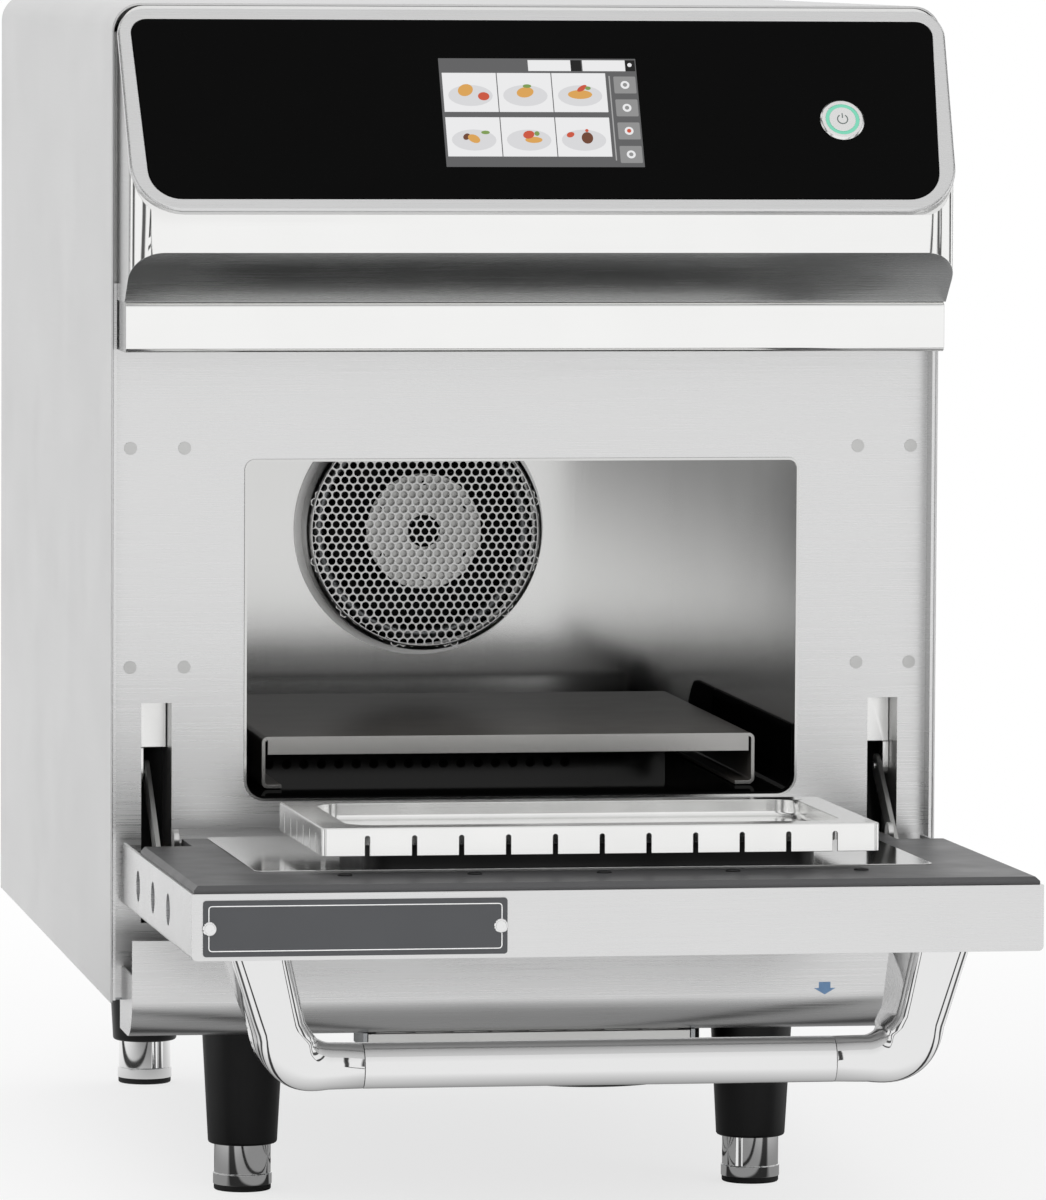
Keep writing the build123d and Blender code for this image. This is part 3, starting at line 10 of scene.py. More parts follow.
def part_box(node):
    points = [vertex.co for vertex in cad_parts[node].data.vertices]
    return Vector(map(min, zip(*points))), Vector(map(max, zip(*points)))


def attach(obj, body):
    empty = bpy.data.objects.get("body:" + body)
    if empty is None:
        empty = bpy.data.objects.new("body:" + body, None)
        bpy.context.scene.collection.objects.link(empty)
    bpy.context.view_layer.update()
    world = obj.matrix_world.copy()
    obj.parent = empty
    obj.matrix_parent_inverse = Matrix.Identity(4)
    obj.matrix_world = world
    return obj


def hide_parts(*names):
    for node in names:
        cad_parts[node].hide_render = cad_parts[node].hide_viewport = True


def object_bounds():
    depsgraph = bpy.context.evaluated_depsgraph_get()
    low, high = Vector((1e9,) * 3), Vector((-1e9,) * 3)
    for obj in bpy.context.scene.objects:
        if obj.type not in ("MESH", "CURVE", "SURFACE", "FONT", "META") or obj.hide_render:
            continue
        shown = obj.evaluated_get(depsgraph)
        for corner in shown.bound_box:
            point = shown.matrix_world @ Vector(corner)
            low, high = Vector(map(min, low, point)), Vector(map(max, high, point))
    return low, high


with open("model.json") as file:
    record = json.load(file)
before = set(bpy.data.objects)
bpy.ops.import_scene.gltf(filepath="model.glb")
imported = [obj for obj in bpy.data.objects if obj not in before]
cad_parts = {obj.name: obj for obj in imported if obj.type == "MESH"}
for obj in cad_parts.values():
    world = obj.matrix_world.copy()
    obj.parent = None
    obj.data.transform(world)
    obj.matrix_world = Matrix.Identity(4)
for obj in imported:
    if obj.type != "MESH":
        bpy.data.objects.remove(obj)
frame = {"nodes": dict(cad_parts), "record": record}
cad_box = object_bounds()
nodes = frame["nodes"]

bl_info = {
    "name": "Speed oven",
    "version": (1, 0, 0),
    "blender": (4, 5, 0),
    "location": "3D View > Sidebar > Oven",
    "description": "Finishes a packed speed oven: sheet metal, perforated fan cover, display and fittings",
    "category": "Object",
}

MM = 0.001
# The face of the front plate, which every depth below is counted from
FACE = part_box("front_plate")[1].y - 1.5 * MM
ON_FACE = Matrix.Translation((0, FACE, 0))
# The turn that stands a flat shape up, so that it faces -Y
UPRIGHT = Matrix(((1, 0, 0), (0, 0, -1), (0, 1, 0))).to_4x4()
WHITE = (1, 1, 1, 1)
# Sheet with less rounding, in millimetres, keeps its edges: its large faces stay flat in the light
THINNEST_ROUNDING = 0.1


def linear(hex_value):
    """A linear colour from an sRGB hex value."""
    parts = [int(hex_value[i:i + 2], 16) / 255 for i in (1, 3, 5)]
    return [p / 12.92 if p <= 0.04045 else ((p + 0.055) / 1.055) ** 2.4 for p in parts] + [1]


def add(tree, kind, inputs=None, **settings):
    """Add a node to a tree with its settings. Each input is a value, or the socket that feeds it."""
    node = tree.nodes.new(kind)
    for name, value in settings.items():
        setattr(node, name, value)
    for key, given in (inputs or {}).items():
        if isinstance(given, bpy.types.NodeSocket):
            tree.links.new(given, node.inputs[key])
        else:
            node.inputs[key].default_value = given
    return node


def maths(tree, operation, *terms):
    """The result of one Math node, from sockets and numbers."""
    return add(tree, "ShaderNodeMath", dict(enumerate(terms)), operation=operation).outputs[0]


def blank_material(name):
    """A new material with only its shader and output, and that shader."""
    material = bpy.data.materials.new(name)
    material.use_nodes = True
    tree = material.node_tree
    tree.nodes.clear()
    shader = add(tree, "ShaderNodeBsdfPrincipled")
    add(tree, "ShaderNodeOutputMaterial", {"Surface": shader.outputs[0]})
    return material, tree, shader


def stretched_noise(tree, size, detail):
    """Noise on Object coordinates, with one size in metres along each axis."""
    where = add(tree, "ShaderNodeTexCoord").outputs["Object"]
    mapping = add(tree, "ShaderNodeMapping", {"Vector": where, "Scale": [1 / s for s in size]})
    return add(tree, "ShaderNodeTexNoise", {"Vector": mapping.outputs[0], "Scale": 1, "Detail": detail,
                                            "Roughness": 0.6}).outputs["Fac"]


def spread(tree, source, low, high, start=0.3, end=0.7, curve="LINEAR"):
    """A value stretched from one range to another."""
    return add(tree, "ShaderNodeMapRange",
               {"Value": source, "From Min": start, "From Max": end, "To Min": low, "To Max": high},
               interpolation_type=curve).outputs[0]


def blend(tree, share, first, second):
    """A colour between two others, by a share."""
    return add(tree, "ShaderNodeMix", {"Factor": share, "A": first, "B": second},
               data_type="RGBA").outputs["Result"]


def roughened(tree, shader, height, strength, depth):
    """Give a shader a bump from a height."""
    bump = add(tree, "ShaderNodeBump", {"Height": height, "Strength": strength, "Distance": depth})
    tree.links.new(bump.outputs[0], shader.inputs["Normal"])


def metal(name, base, dull, grain=None, grain_share=0.12, cloud=0.05, bump=0.0):
    """Bare or polished metal: roughness varies in the brushing's streaks and in faint clouds.

    grain is the streaks' size along X, Y and Z. A real grit line is about 0.1 mm wide,
    and it is drawn about 0.5 mm wide so that it shows in the render.
    """
    material, tree, shader = blank_material(name)
    shader.inputs["Metallic"].default_value = 1
    clouds = stretched_noise(tree, (0.06, 0.06, 0.06), 2)
    rough = spread(tree, clouds, dull * (1 - cloud), dull * (1 + cloud))
    tone = linear(base)
    if grain:
        streaks = stretched_noise(tree, grain, 3)
        rough = maths(tree, "MULTIPLY", rough,
                      spread(tree, streaks, 1 - 2 * grain_share, 1 + 2 * grain_share))
        shade = maths(tree, "MULTIPLY", spread(tree, streaks, 1 - grain_share, 1 + grain_share / 3),
                      spread(tree, clouds, 1 - cloud, 1.0))
        deepest = [c * 0.55 for c in tone[:3]] + [1]
        tree.links.new(blend(tree, shade, deepest, tone), shader.inputs["Base Color"])
        if bump:
            roughened(tree, shader, streaks, bump, 0.02 * MM)
    else:
        shader.inputs["Base Color"].default_value = tone
    tree.links.new(rough, shader.inputs["Roughness"])
    return material


def moulded(name, base, dull, texture=0.0008, bump=0.15, gloss=0.5, vary=0.06, coat=0.0,
            coat_dull=0.1):
    """Moulded plastic, rubber, enamel or lacquer with a fine surface texture.

    gloss is the specular level, which is 0.5 for a common plastic. coat is a thin skin's share.
    """
    material, tree, shader = blank_material(name)
    fine = stretched_noise(tree, (texture, texture, texture), 2)
    clouds = stretched_noise(tree, (0.03, 0.03, 0.03), 2)
    darker, paler = ([min(c * (1 + by), 1) for c in linear(base)[:3]] + [1] for by in (-vary, vary))
    tree.links.new(blend(tree, clouds, darker, paler), shader.inputs["Base Color"])
    tree.links.new(spread(tree, clouds, dull * 0.9, dull * 1.1), shader.inputs["Roughness"])
    for socket, value in (("Specular IOR Level", gloss), ("Coat Weight", coat),
                          ("Coat Roughness", coat_dull)):
        shader.inputs[socket].default_value = value
    if bump:
        roughened(tree, shader, fine, bump, 0.1 * MM)
    return material


def lit(name, base):
    """A display face or lamp that glows in its own colour."""
    material, tree, shader = blank_material(name)
    for socket, value in (("Base Color", linear("#0c0c0c")), ("Specular IOR Level", 0.15),
                          ("Roughness", 0.25), ("Emission Color", linear(base)),
                          ("Emission Strength", 1.0)):
        shader.inputs[socket].default_value = value
    return material


def painted_shade_by_height(material, low, high, level):
    """Paint shade into a metal's colour: darken it between two heights, down to a level."""
    tree = material.node_tree
    colour = tree.nodes["Principled BSDF"].inputs["Base Color"]
    where = add(tree, "ShaderNodeTexCoord").outputs["Object"]
    height = add(tree, "ShaderNodeSeparateXYZ", {0: where}).outputs["Z"]
    share = spread(tree, height, 0.0, 1.0 - level, low, high, "SMOOTHSTEP")
    tree.links.new(blend(tree, share, colour.links[0].from_socket, (0, 0, 0, 1)), colour)
    return material


finishes = {}


def make_finishes(colours):
    """Every finish of the oven, by the name that the tables below use."""
    across = (0.07, 0.0005, 0.0005)
    deep = (0.0005, 0.09, 0.0005)
    upwards = (0.0006, 0.0006, 0.06)
    finishes.update({
        # Stainless steel sheet, brushed: broad soft reflections pulled out along fine lines
        "brushed_across": metal("stainless_brushed_across", colours.steel, 0.30, across, 0.10, 0.07,
                                bump=0.15),
        "brushed_deep": metal("stainless_brushed_along_side", colours.side, 0.34, deep, 0.03, 0.08,
                              bump=0.06),
        # Stainless steel, mirror polished: sharp reflections with hardly any haze
        "polished": metal("stainless_polished", colours.polish, 0.10, across, 0.02),
        # The undercut below the console: brushed, with painted shade that makes it greyer where it looks down
        "undercut_shade": metal("stainless_brushed_undercut", "#b9baba", 0.26, across, 0.05),
        # Faces at right angles to the front: painted shade, a greyer copy of the steel for what they mirror
        # beside the oven
        "edge_on_shade": metal("stainless_edge_on", "#a2a2a2", 0.22, deep, 0.04),
        # Side walls of the cavity: brushed upwards, with painted shade that darkens them towards the roof
        "cavity_side": painted_shade_by_height(metal("stainless_cavity_side", "#f0f0ef", 0.2, upwards, 0.04),
                                   0.25, 0.36, 0.05),
        # Bends between the cavity's walls: painted shade, a dark grey where they lie in shade
        "cavity_bend_shade": metal("stainless_cavity_seam", "#2c2c2c", 0.4),
        # Cut and rolled edge of the opening: polished, with painted shade that makes it darker than the face
        # round it
        "rolled_edge_shade": metal("stainless_rolled_edge", "#666665", 0.14),
        # Spot welds ground flush: duller and greyer than the brushing round them
        "weld": metal("stainless_ground_weld", "#cfcfce", 0.42, (0.002, 0.0006, 0.0006), 0.06),
        # Stainless steel, satin blasted: even and soft
        "satin": metal("stainless_satin", colours.satin, 0.36, cloud=0.08),
        # Zinc-plated bracket sheet: pale, with soft cloudy reflections
        "zinc": metal("steel_zinc_plated", "#d4d4d3", 0.34, cloud=0.2),
        # Cold rolled cavity sheet: faintly brushed upwards, softly mirrored
        "cavity": metal("stainless_cavity_sheet", colours.cavity, 0.13, upwards, 0.03),
        # Deep drawn sheet of the plug: bright with soft clouds
        "drawn": metal("stainless_deep_drawn", colours.polish, 0.17, across, 0.04, cloud=0.2),
        # Fan cover sheet: bright satin webs between the holes
        "perforated": metal("stainless_perforated", "#e2e2e1", 0.33),
        # Baked carbon steel plate: dark, a little brown, with a soft long reflection
        "plate": moulded("steel_baked_plate", colours.plate, 0.4, 0.0016, 0.1, gloss=0, vary=0.15,
                         coat=0.16, coat_dull=0.16),
        # The same plate's upright edges: bare and bright
        "plate_edge": metal("steel_plate_edge", "#b4b3b1", 0.22, across, 0.03),
        # Chrome plate on the handle and feet: the sharpest mirror of the oven
        "chrome": metal("chrome_plate", "#e6e6e6", 0.05, cloud=0.2),
        # Galvanised sheet and aluminium cans inside the oven
        "galvanised": metal("steel_galvanised", "#aeb1b3", 0.42, cloud=0.25),
        "aluminium": metal("aluminium_can", "#cfd0d1", 0.35),
        # Woven glass cloth with a fluoropolymer face: dead black, softly shiny
        "liner": moulded("nonstick_liner", "#040404", 0.3, 0.0012, 0.02, gloss=0, coat=0.05,
                         coat_dull=0.03),
        # Powder-coated steel frame of the door: dark grey, fine grained
        "frame": moulded("powder_coat_grey", colours.frame, 0.36, 0.0009, 0.12, gloss=0.12),
        # Label: dark lacquer with a pale printed line
        "label": moulded("label_lacquer", colours.label, 0.42, 0.0006, 0.05, gloss=0.15),
        "label_line": moulded("label_print_pale", "#d6d6d6", 0.45, bump=0),
        # Float glass, printed black from behind: deep black under a clear sharp gloss
        "glass": moulded("glass_printed_black", colours.glass, 0.03, bump=0, gloss=0.03),
        # Glass-filled nylon of the legs: black with a soft grey sheen
        "nylon": moulded("nylon_glass_filled", "#0d0d0e", 0.45, 0.0009, 0.2, gloss=0.3),
        "rubber": moulded("rubber_pad", "#101010", 0.75, 0.0008, 0.4),
        # Polished block and button: small bright steel pieces
        "block": metal("stainless_block", "#ececeb", 0.2),
        # Coats and boards that are seen little: black enamel, dark stove paint, lacquer, faced wool
        "enamel": moulded("enamel_black", "#0b0b0b", 0.5, gloss=0.2),
        "paint": moulded("stove_paint_dark", "#4d5054", 0.45),
        "board": moulded("circuit_board_lacquer", "#1d5b33", 0.35),
        "wool": moulded("mineral_wool_faced", "#3b3a38", 0.9, 0.004, 0.8),
        # The lit ring, and the display's ground, tiles, keys and dish pictures
        "ring_light": lit("diffuser_green", colours.ring),
        "screen": lit("display_grey", colours.screen),
        "screen_white": lit("display_white", "#e9e9ea"),
        "screen_black": lit("display_black", "#161616"),
        "screen_key": lit("display_key_grey", "#8f8f8f"),
        "screen_line": lit("display_line_grey", "#a8a8a8"),
        "dish_pale": lit("display_dish_pale", "#d6d6d8"),
        "dish_gold": lit("display_dish_gold", "#d9a255"),
        "dish_red": lit("display_dish_red", "#c9543c"),
        "dish_green": lit("display_dish_green", "#7d9a52"),
        "dish_brown": lit("display_dish_brown", "#6d4330"),
        # Flat prints, and painted shade for the dark of small bores
        "arrow": moulded("arrow_print_blue", colours.arrow, 0.45, bump=0),
        "symbol": moulded("symbol_engraved", "#5c6462", 0.5, bump=0),
        "dark_gap": moulded("shadow_gap_black", "#0a0a0a", 0.6, bump=0),
    })


# Finish of each CAD node, and the rounding of its edges in millimetres where a copy is dressed
LOOKS = {
    "casing": ("brushed_deep", 0.5), "base_chassis": ("galvanised", 0), "back_panel": ("satin", 0),
    "cable_gland": ("nylon", 0.6), "front_plate": ("brushed_across", 0.05), "cavity_shell": ("cavity", 0.05),
    "insulation": ("wool", 0), "cavity_liner": ("liner", 0), "cooking_plate": ("plate", 0.3),
    "fan_cover": ("perforated", 0), "fan_hub_plate": ("satin", 0),
    "convection_impeller": ("galvanised", 0.05), "heating_element": ("galvanised", 0),
    "convection_motor": ("paint", 0),
    "trim_bar": ("polished", 0.3), "control_housing": ("polished", 0.3), "fascia_bezel": ("brushed_across", 0.6),
    "fascia_glass": ("glass", 0.35), "touch_screen": ("screen", 0), "screen_module": ("nylon", 0),
    "control_board": ("board", 0), "button_body": ("block", 0.25), "button_light": ("ring_light", 0),
    "button_cap": ("block", 0.25), "lower_cover": ("brushed_across", 0.25), "air_filter": ("satin", 0.3),
    "filter_rails": ("galvanised", 0), "underside_cowl": ("nylon", 0.5), "legs": ("nylon", 0.5),
    "door_skin": ("brushed_across", 0.35), "door_frame": ("frame", 0.3),
    "door_back_plate": ("polished", 0.15),
    "door_plug": ("drawn", 0.25), "plug_neck": ("nylon", 0), "label_plate": ("label", 0.2),
    "label_rivets": ("chrome", 0.3), "handle_bar": ("chrome", 0.15), "handle_end_left": ("chrome", 0),
    "handle_end_right": ("chrome", 0), "side_caps": ("paint", 0), "door_hinge_brackets": ("zinc", 0.2),
    # Hinge brackets: black enamel as painted shade inside their slots, pale zinc only on their side walls
    "hinge_brackets": ("enamel", 0.05), "stay_blocks": ("block", 0.4), "stay_arm_left": ("satin", 0.25),
    "stay_arm_right": ("satin", 0.25), "cavity_rails": ("galvanised", 0), "waveguide": ("aluminium", 0),
    "magnetron": ("aluminium", 0), "transformer": ("paint", 0), "capacitor": ("aluminium", 0),
    "cooling_fan_frame": ("nylon", 0), "cooling_fan_rotor": ("nylon", 0),
}
for place in ("front_left", "front_right", "back_left", "back_right"):
    LOOKS["foot_" + place] = ("chrome", 0.3)
    LOOKS["pad_" + place] = ("rubber", 0.4)


def facing(finish, *ways):
    """A finish for the faces that look certain ways."""
    return [(finish, way) for way in ways]


# Faces with a finish of their own: the finish, and the way that they face
LEFT_RIGHT = ((-1, 0, 0), (1, 0, 0))
BEND_WAYS = [(side * sin(turn), -cos(turn), 0) for side in (-1, 1) for turn in (0.4, 0.785, 1.17)]
FACE_LOOKS = {
    "cooking_plate": facing("plate_edge", (0, -1, 0)),
    # The console's undercut and side faces take greyer copies of the steel: painted shade
    "control_housing": facing("undercut_shade", (0, -0.634, -0.773)) + facing("edge_on_shade", *LEFT_RIGHT),
    # Side faces of the trim bar and front plate: painted shade in a greyer copy of the steel
    "trim_bar": facing("edge_on_shade", *LEFT_RIGHT), "front_plate": facing("edge_on_shade", *LEFT_RIGHT),
    # The cavity's bends take a dark grey: painted shade
    "cavity_shell": facing("cavity_side", *LEFT_RIGHT) + facing("cavity_bend_shade", *BEND_WAYS),
    # The impeller's front faces take black enamel: painted shade behind the fan cover's holes
    "hinge_brackets": facing("zinc", *LEFT_RIGHT), "convection_impeller": facing("enamel", (0, -1, 0)),
}

SLOTS = {m["node"]: m["material_slot"] for m in frame["record"]["subparts"]}
BODY_OF = {n: b for b, members in frame["record"]["behaviour"]["bodies"].items() for n in members}


def linked(name, data):
    """A new object of some data, put in the scene."""
    thing = bpy.data.objects.new(name, data)
    bpy.context.scene.collection.objects.link(thing)
    return thing


def mesh_of(name, work):
    """The mesh of a finished bmesh."""
    mesh = bpy.data.meshes.new(name)
    work.to_mesh(mesh)
    work.free()
    return mesh


def keep_piece(shape, name, finish, node):
    """Make an object of a finished mesh or bmesh, and let it ride with the CAD node it belongs to."""
    body, slot = BODY_OF[node], SLOTS[node]
    mesh = mesh_of(name, shape) if isinstance(shape, bmesh.types.BMesh) else shape
    piece = linked(name, mesh)
    if not mesh.materials:
        mesh.materials.append(finishes[finish])
    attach(piece, body)
    return piece


def rounded_edges(piece, width, angle):
    """A bevel of some millimetres on the edges that turn by more than an angle."""
    bevel = piece.modifiers.new("edges", "BEVEL")
    bevel.width = width * MM
    bevel.segments = 2
    bevel.limit_method = "ANGLE"
    bevel.angle_limit = radians(angle)
    return bevel


def dress(node, finish, rounding):
    """Replace a CAD node by a copy with merged faces and softly rounded edges."""
    work = bmesh.new()
    work.from_mesh(nodes[node].data)
    bmesh.ops.remove_doubles(work, verts=work.verts, dist=0.002 * MM)
    bmesh.ops.dissolve_limit(work, angle_limit=radians(0.4), verts=work.verts, edges=work.edges)
    for face in work.faces:
        face.smooth = True
    piece = keep_piece(work, node + "_finished", finish, node)
    for index, (face_finish, way) in enumerate(FACE_LOOKS.get(node, ()), 1):
        piece.data.materials.append(finishes[face_finish])
        for polygon in piece.data.polygons:
            if polygon.normal.dot(Vector(way)) > 0.97:
                polygon.material_index = index
    piece.data.set_sharp_from_angle(angle=radians(32))
    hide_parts(node)
    if rounding < THINNEST_ROUNDING:
        weighted = piece.modifiers.new("normals", "WEIGHTED_NORMAL")
        weighted.keep_sharp = True
    else:
        rounded_edges(piece, rounding, 40).harden_normals = True


def colour(name, description, default):
    """A colour that a user may change, as an sRGB hex value."""
    return bpy.props.StringProperty(name=name, description=description, default=default)


class OvenColours(bpy.types.PropertyGroup):
    """Colours of the finishes."""

    steel: colour("Brushed steel", "Front, door and cover", "#e0e0e0")
    side: colour("Casing steel", "Casing", "#d3d3d3")
    polish: colour("Polished steel", "Console and trim", "#f3f3f2")
    satin: colour("Satin steel", "Fittings", "#cfcfcd")
    cavity: colour("Cavity steel", "Oven walls", "#d6d6d5")
    plate: colour("Cooking plate", "Baked steel", "#45423f")
    frame: colour("Door frame", "Powder coat", "#4a4a4b")
    label: colour("Label plate", "Bare lacquer", "#47484a")
    glass: colour("Glass", "Black print", "#060606")
    ring: colour("Ring light", "Lit ring of the button", "#7fd6b8")
    screen: colour("Display", "Display ground", "#5f5f60")
    arrow: colour("Arrow", "Arrow on the cover", "#6f94bd")


def length(name, description, default):
    """A length that a user may change, given in millimetres."""
    return bpy.props.FloatProperty(name=name, description=description, default=default * MM,
                                   unit="LENGTH", precision=5)


class OvenSizes(bpy.types.PropertyGroup):
    """Sizes of the fittings that are made here."""

    hole_width: length("Hole width", "Width of a hole in the fan cover", 3.85)
    hole_pitch: length("Hole pitch", "Distance between the holes of the fan cover", 4.5)
    cover_sheet: length("Cover sheet", "Thickness of the perforated sheet", 0.8)
    cover_margin: length("Cover margin", "Plain margin round the perforated face", 2.6)
    screw_width: length("Screw width", "Head width of the door frame's screws", 7)
    screw_pitch: length("Screw pitch", "Distance between those screws", 61)
    rivet_width: length("Rivet width", "Head width of the label's rivets", 6.6)
    weld_width: length("Weld width", "Width of the ground spot welds", 6.3)
    rim_width: length("Rim width", "Width of the bright edge round the opening", 1.3)
    line_width: length("Line width", "Width of the label's border line", 0.45)
    print_proud: length("Print", "Thickness of the display's tiles and of the arrow", 0.08)


def hole_cell(width, pitch):
    """One hexagon of perforated sheet round a twelve-sided hole, facing -Y."""
    work = bmesh.new()
    rims = []
    for step in range(12):
        turn = radians(30 * step)
        reach = pitch / sqrt(3) if step % 2 else pitch / 2
        outer = work.verts.new((reach * cos(turn), 0, reach * sin(turn)))
        inner = work.verts.new((width / 2 * cos(turn), 0, width / 2 * sin(turn)))
        rims.append((outer, inner))
    for (a, b), (c, d) in zip(rims, rims[1:] + rims[:1]):
        work.faces.new((a, c, d, b))
    return linked("hole_cell", mesh_of("hole_cell", work))


def new_tree(name, inputs):
    """A Geometry Nodes tree with its inputs, its input node and a place for its result."""
    tree = bpy.data.node_groups.new(name, "GeometryNodeTree")
    for label, kind in inputs:
        tree.interface.new_socket(label, in_out="INPUT", socket_type=kind)
    tree.interface.new_socket("Geometry", in_out="OUTPUT", socket_type="NodeSocketGeometry")
    return tree, add(tree, "NodeGroupInput")


def baked(name, tree, values):
    """The plain mesh that a Geometry Nodes tree makes, with its helper removed."""
    carrier = linked(name, bpy.data.meshes.new(name))
    modifier = carrier.modifiers.new("build", "NODES")
    modifier.node_group = tree
    for item in tree.interface.items_tree:
        if item.name in values:
            modifier[item.identifier] = values[item.name]
    bpy.context.view_layer.update()
    result = carrier.evaluated_get(bpy.context.evaluated_depsgraph_get())
    mesh = bpy.data.meshes.new_from_object(result)
    mesh.name = name
    bpy.data.objects.remove(carrier)
    return mesh


def instanced_tree(name, extra, points_from):
    """A tree that sets one shape on points, makes it real and gives it its finish."""
    tree, given = new_tree(name, [("Shape", "NodeSocketObject"), ("Finish", "NodeSocketMaterial")] + extra)
    points = points_from(tree, given)
    shape = add(tree, "GeometryNodeObjectInfo", {"Object": given.outputs["Shape"]})
    result = points
    for kind, inputs in (("GeometryNodeInstanceOnPoints", {"Instance": shape.outputs["Geometry"]}),
                         ("GeometryNodeRealizeInstances", {}),
                         ("GeometryNodeMergeByDistance", {"Distance": 0.01 * MM}),
                         ("GeometryNodeSetMaterial", {"Material": given.outputs["Finish"]}),
                         ("NodeGroupOutput", {})):
        node = add(tree, kind, {0: result, **inputs})
        result = node.outputs[0] if node.outputs else None
    return tree


def hole_points(tree, given):
    """Centres of a hexagonal hole pattern inside a circle."""
    pitch = given.outputs["Pitch"]
    count = 37
    row_pitch = maths(tree, "MULTIPLY", pitch, sqrt(3) / 2)
    grid = add(tree, "GeometryNodeMeshGrid", {
        "Size X": maths(tree, "MULTIPLY", pitch, count - 1),
        "Size Y": maths(tree, "MULTIPLY", row_pitch, count - 1), "Vertices X": count, "Vertices Y": count})
    place = add(tree, "GeometryNodeInputPosition").outputs[0]
    parts = add(tree, "ShaderNodeSeparateXYZ", {0: place})
    row = maths(tree, "ROUND", maths(tree, "DIVIDE", parts.outputs["Y"], row_pitch))
    odd = maths(tree, "FLOORED_MODULO", row, 2)
    step = maths(tree, "MULTIPLY", maths(tree, "MULTIPLY", odd, pitch), 0.5)
    x = maths(tree, "ADD", parts.outputs["X"], step)
    upright = add(tree, "ShaderNodeCombineXYZ", {"X": x, "Z": parts.outputs["Y"]})
    moved = add(tree, "GeometryNodeSetPosition", {"Geometry": grid.outputs["Mesh"],
                                                  "Position": upright.outputs[0]})
    far = add(tree, "ShaderNodeVectorMath", {0: add(tree, "GeometryNodeInputPosition").outputs[0]},
              operation="LENGTH").outputs["Value"]
    outside = add(tree, "FunctionNodeCompare", {"A": far, "B": given.outputs["Radius"]},
                  data_type="FLOAT", operation="GREATER_THAN").outputs[0]
    return add(tree, "GeometryNodeDeleteGeometry", {"Geometry": moved.outputs[0], "Selection": outside},
               domain="POINT").outputs[0]


def skin(work, rows):
    """Faces between closed rings of vertices that follow each other."""
    for here, there in zip(rows, rows[1:]):
        for k in range(len(here)):
            j = (k + 1) % len(here)
            work.faces.new((here[k], here[j], there[j], there[k]))


def smoothed(work):
    """Turn a bmesh's faces outwards and shade them smooth."""
    bmesh.ops.recalc_face_normals(work, faces=work.faces)
    for face in work.faces:
        face.smooth = True


def lathe(profile, centre, steps):
    """Turn a closed (radius, depth) profile about a line along Y."""
    work = bmesh.new()
    rings = []
    for step in range(steps):
        turn = tau * step / steps
        rings.append([work.verts.new((centre.x + r * cos(turn), centre.y + y, centre.z + r * sin(turn)))
                      for r, y in profile])
    skin(work, rings + rings[:1])
    smoothed(work)
    return work


def floor_paper():
    """White paper under the oven: it takes the shadow near the object and is plain white far off."""
    material, tree, shader = blank_material("floor_paper")
    for socket, value in (("Base Color", linear("#f4f4f4")), ("Roughness", 0.9), ("Specular IOR Level", 0)):
        shader.inputs[socket].default_value = value
    where = add(tree, "ShaderNodeTexCoord").outputs["Object"]
    far = add(tree, "ShaderNodeVectorMath", {0: where}, operation="LENGTH").outputs["Value"]
    share = spread(tree, far, 0.72, 1.0, 0.5, 1.6, "SMOOTHSTEP")
    # Metal mirrors the floor near the oven in its shade, so that folds and tubes keep their form
    near = spread(tree, far, 0.3, 1.0, 0.2, 0.55, "SMOOTHSTEP")
    parts = add(tree, "ShaderNodeSeparateXYZ", {0: where})
    across = maths(tree, "DIVIDE", parts.outputs["X"], far)
    near = maths(tree, "MULTIPLY", near, dark_flags(tree, across))
    mirrored = add(tree, "ShaderNodeLightPath").outputs["Is Glossy Ray"]
    level = spread(tree, mirrored, 1.0, near, 0.0, 1.0)
    glow = add(tree, "ShaderNodeEmission", {"Color": WHITE, "Strength": level})
    share = maths(tree, "MULTIPLY", maths(tree, "MAXIMUM", share, mirrored), background_rays(tree))
    both = add(tree, "ShaderNodeMixShader", {0: share, 1: shader.outputs[0], 2: glow.outputs[0]})
    tree.links.new(both.outputs[0], tree.nodes["Material Output"].inputs["Surface"])
    return material


def dark_flags(tree, across):
    """Two black studio flags on each side of the mirrored view, by how far to a side it looks."""
    side = maths(tree, "ABSOLUTE", across)
    levels = []
    for middle, half, soft, dark in ((0.85, 0.045, 0.03, 0.1), (0.55, 0.03, 0.02, 0.06)):
        off = maths(tree, "ABSOLUTE", maths(tree, "SUBTRACT", side, middle))
        levels.append(spread(tree, off, dark, 1.0, half, half + soft))
    return maths(tree, "MULTIPLY", *levels)


def background_rays(tree):
    """1 for the rays that see the background: straight from the camera, mirrored or through glass."""
    path = add(tree, "ShaderNodeLightPath").outputs
    seen = maths(tree, "MAXIMUM", path["Is Camera Ray"], path["Is Glossy Ray"])
    return maths(tree, "MAXIMUM", seen, path["Is Transmission Ray"])


def sky_ramp(tree, height, stops):
    """Grey levels by height in the sky, from straight down at 0 to straight up at 1."""
    ramp = add(tree, "ShaderNodeValToRGB", {"Fac": height})
    elements = ramp.color_ramp.elements
    for place_at, _ in stops[1:-1]:
        elements.new(place_at)
    for element, (place_at, level) in zip(elements, stops):
        element.position = place_at
        element.color = (level, level, level, 1)
    return ramp.outputs["Color"]


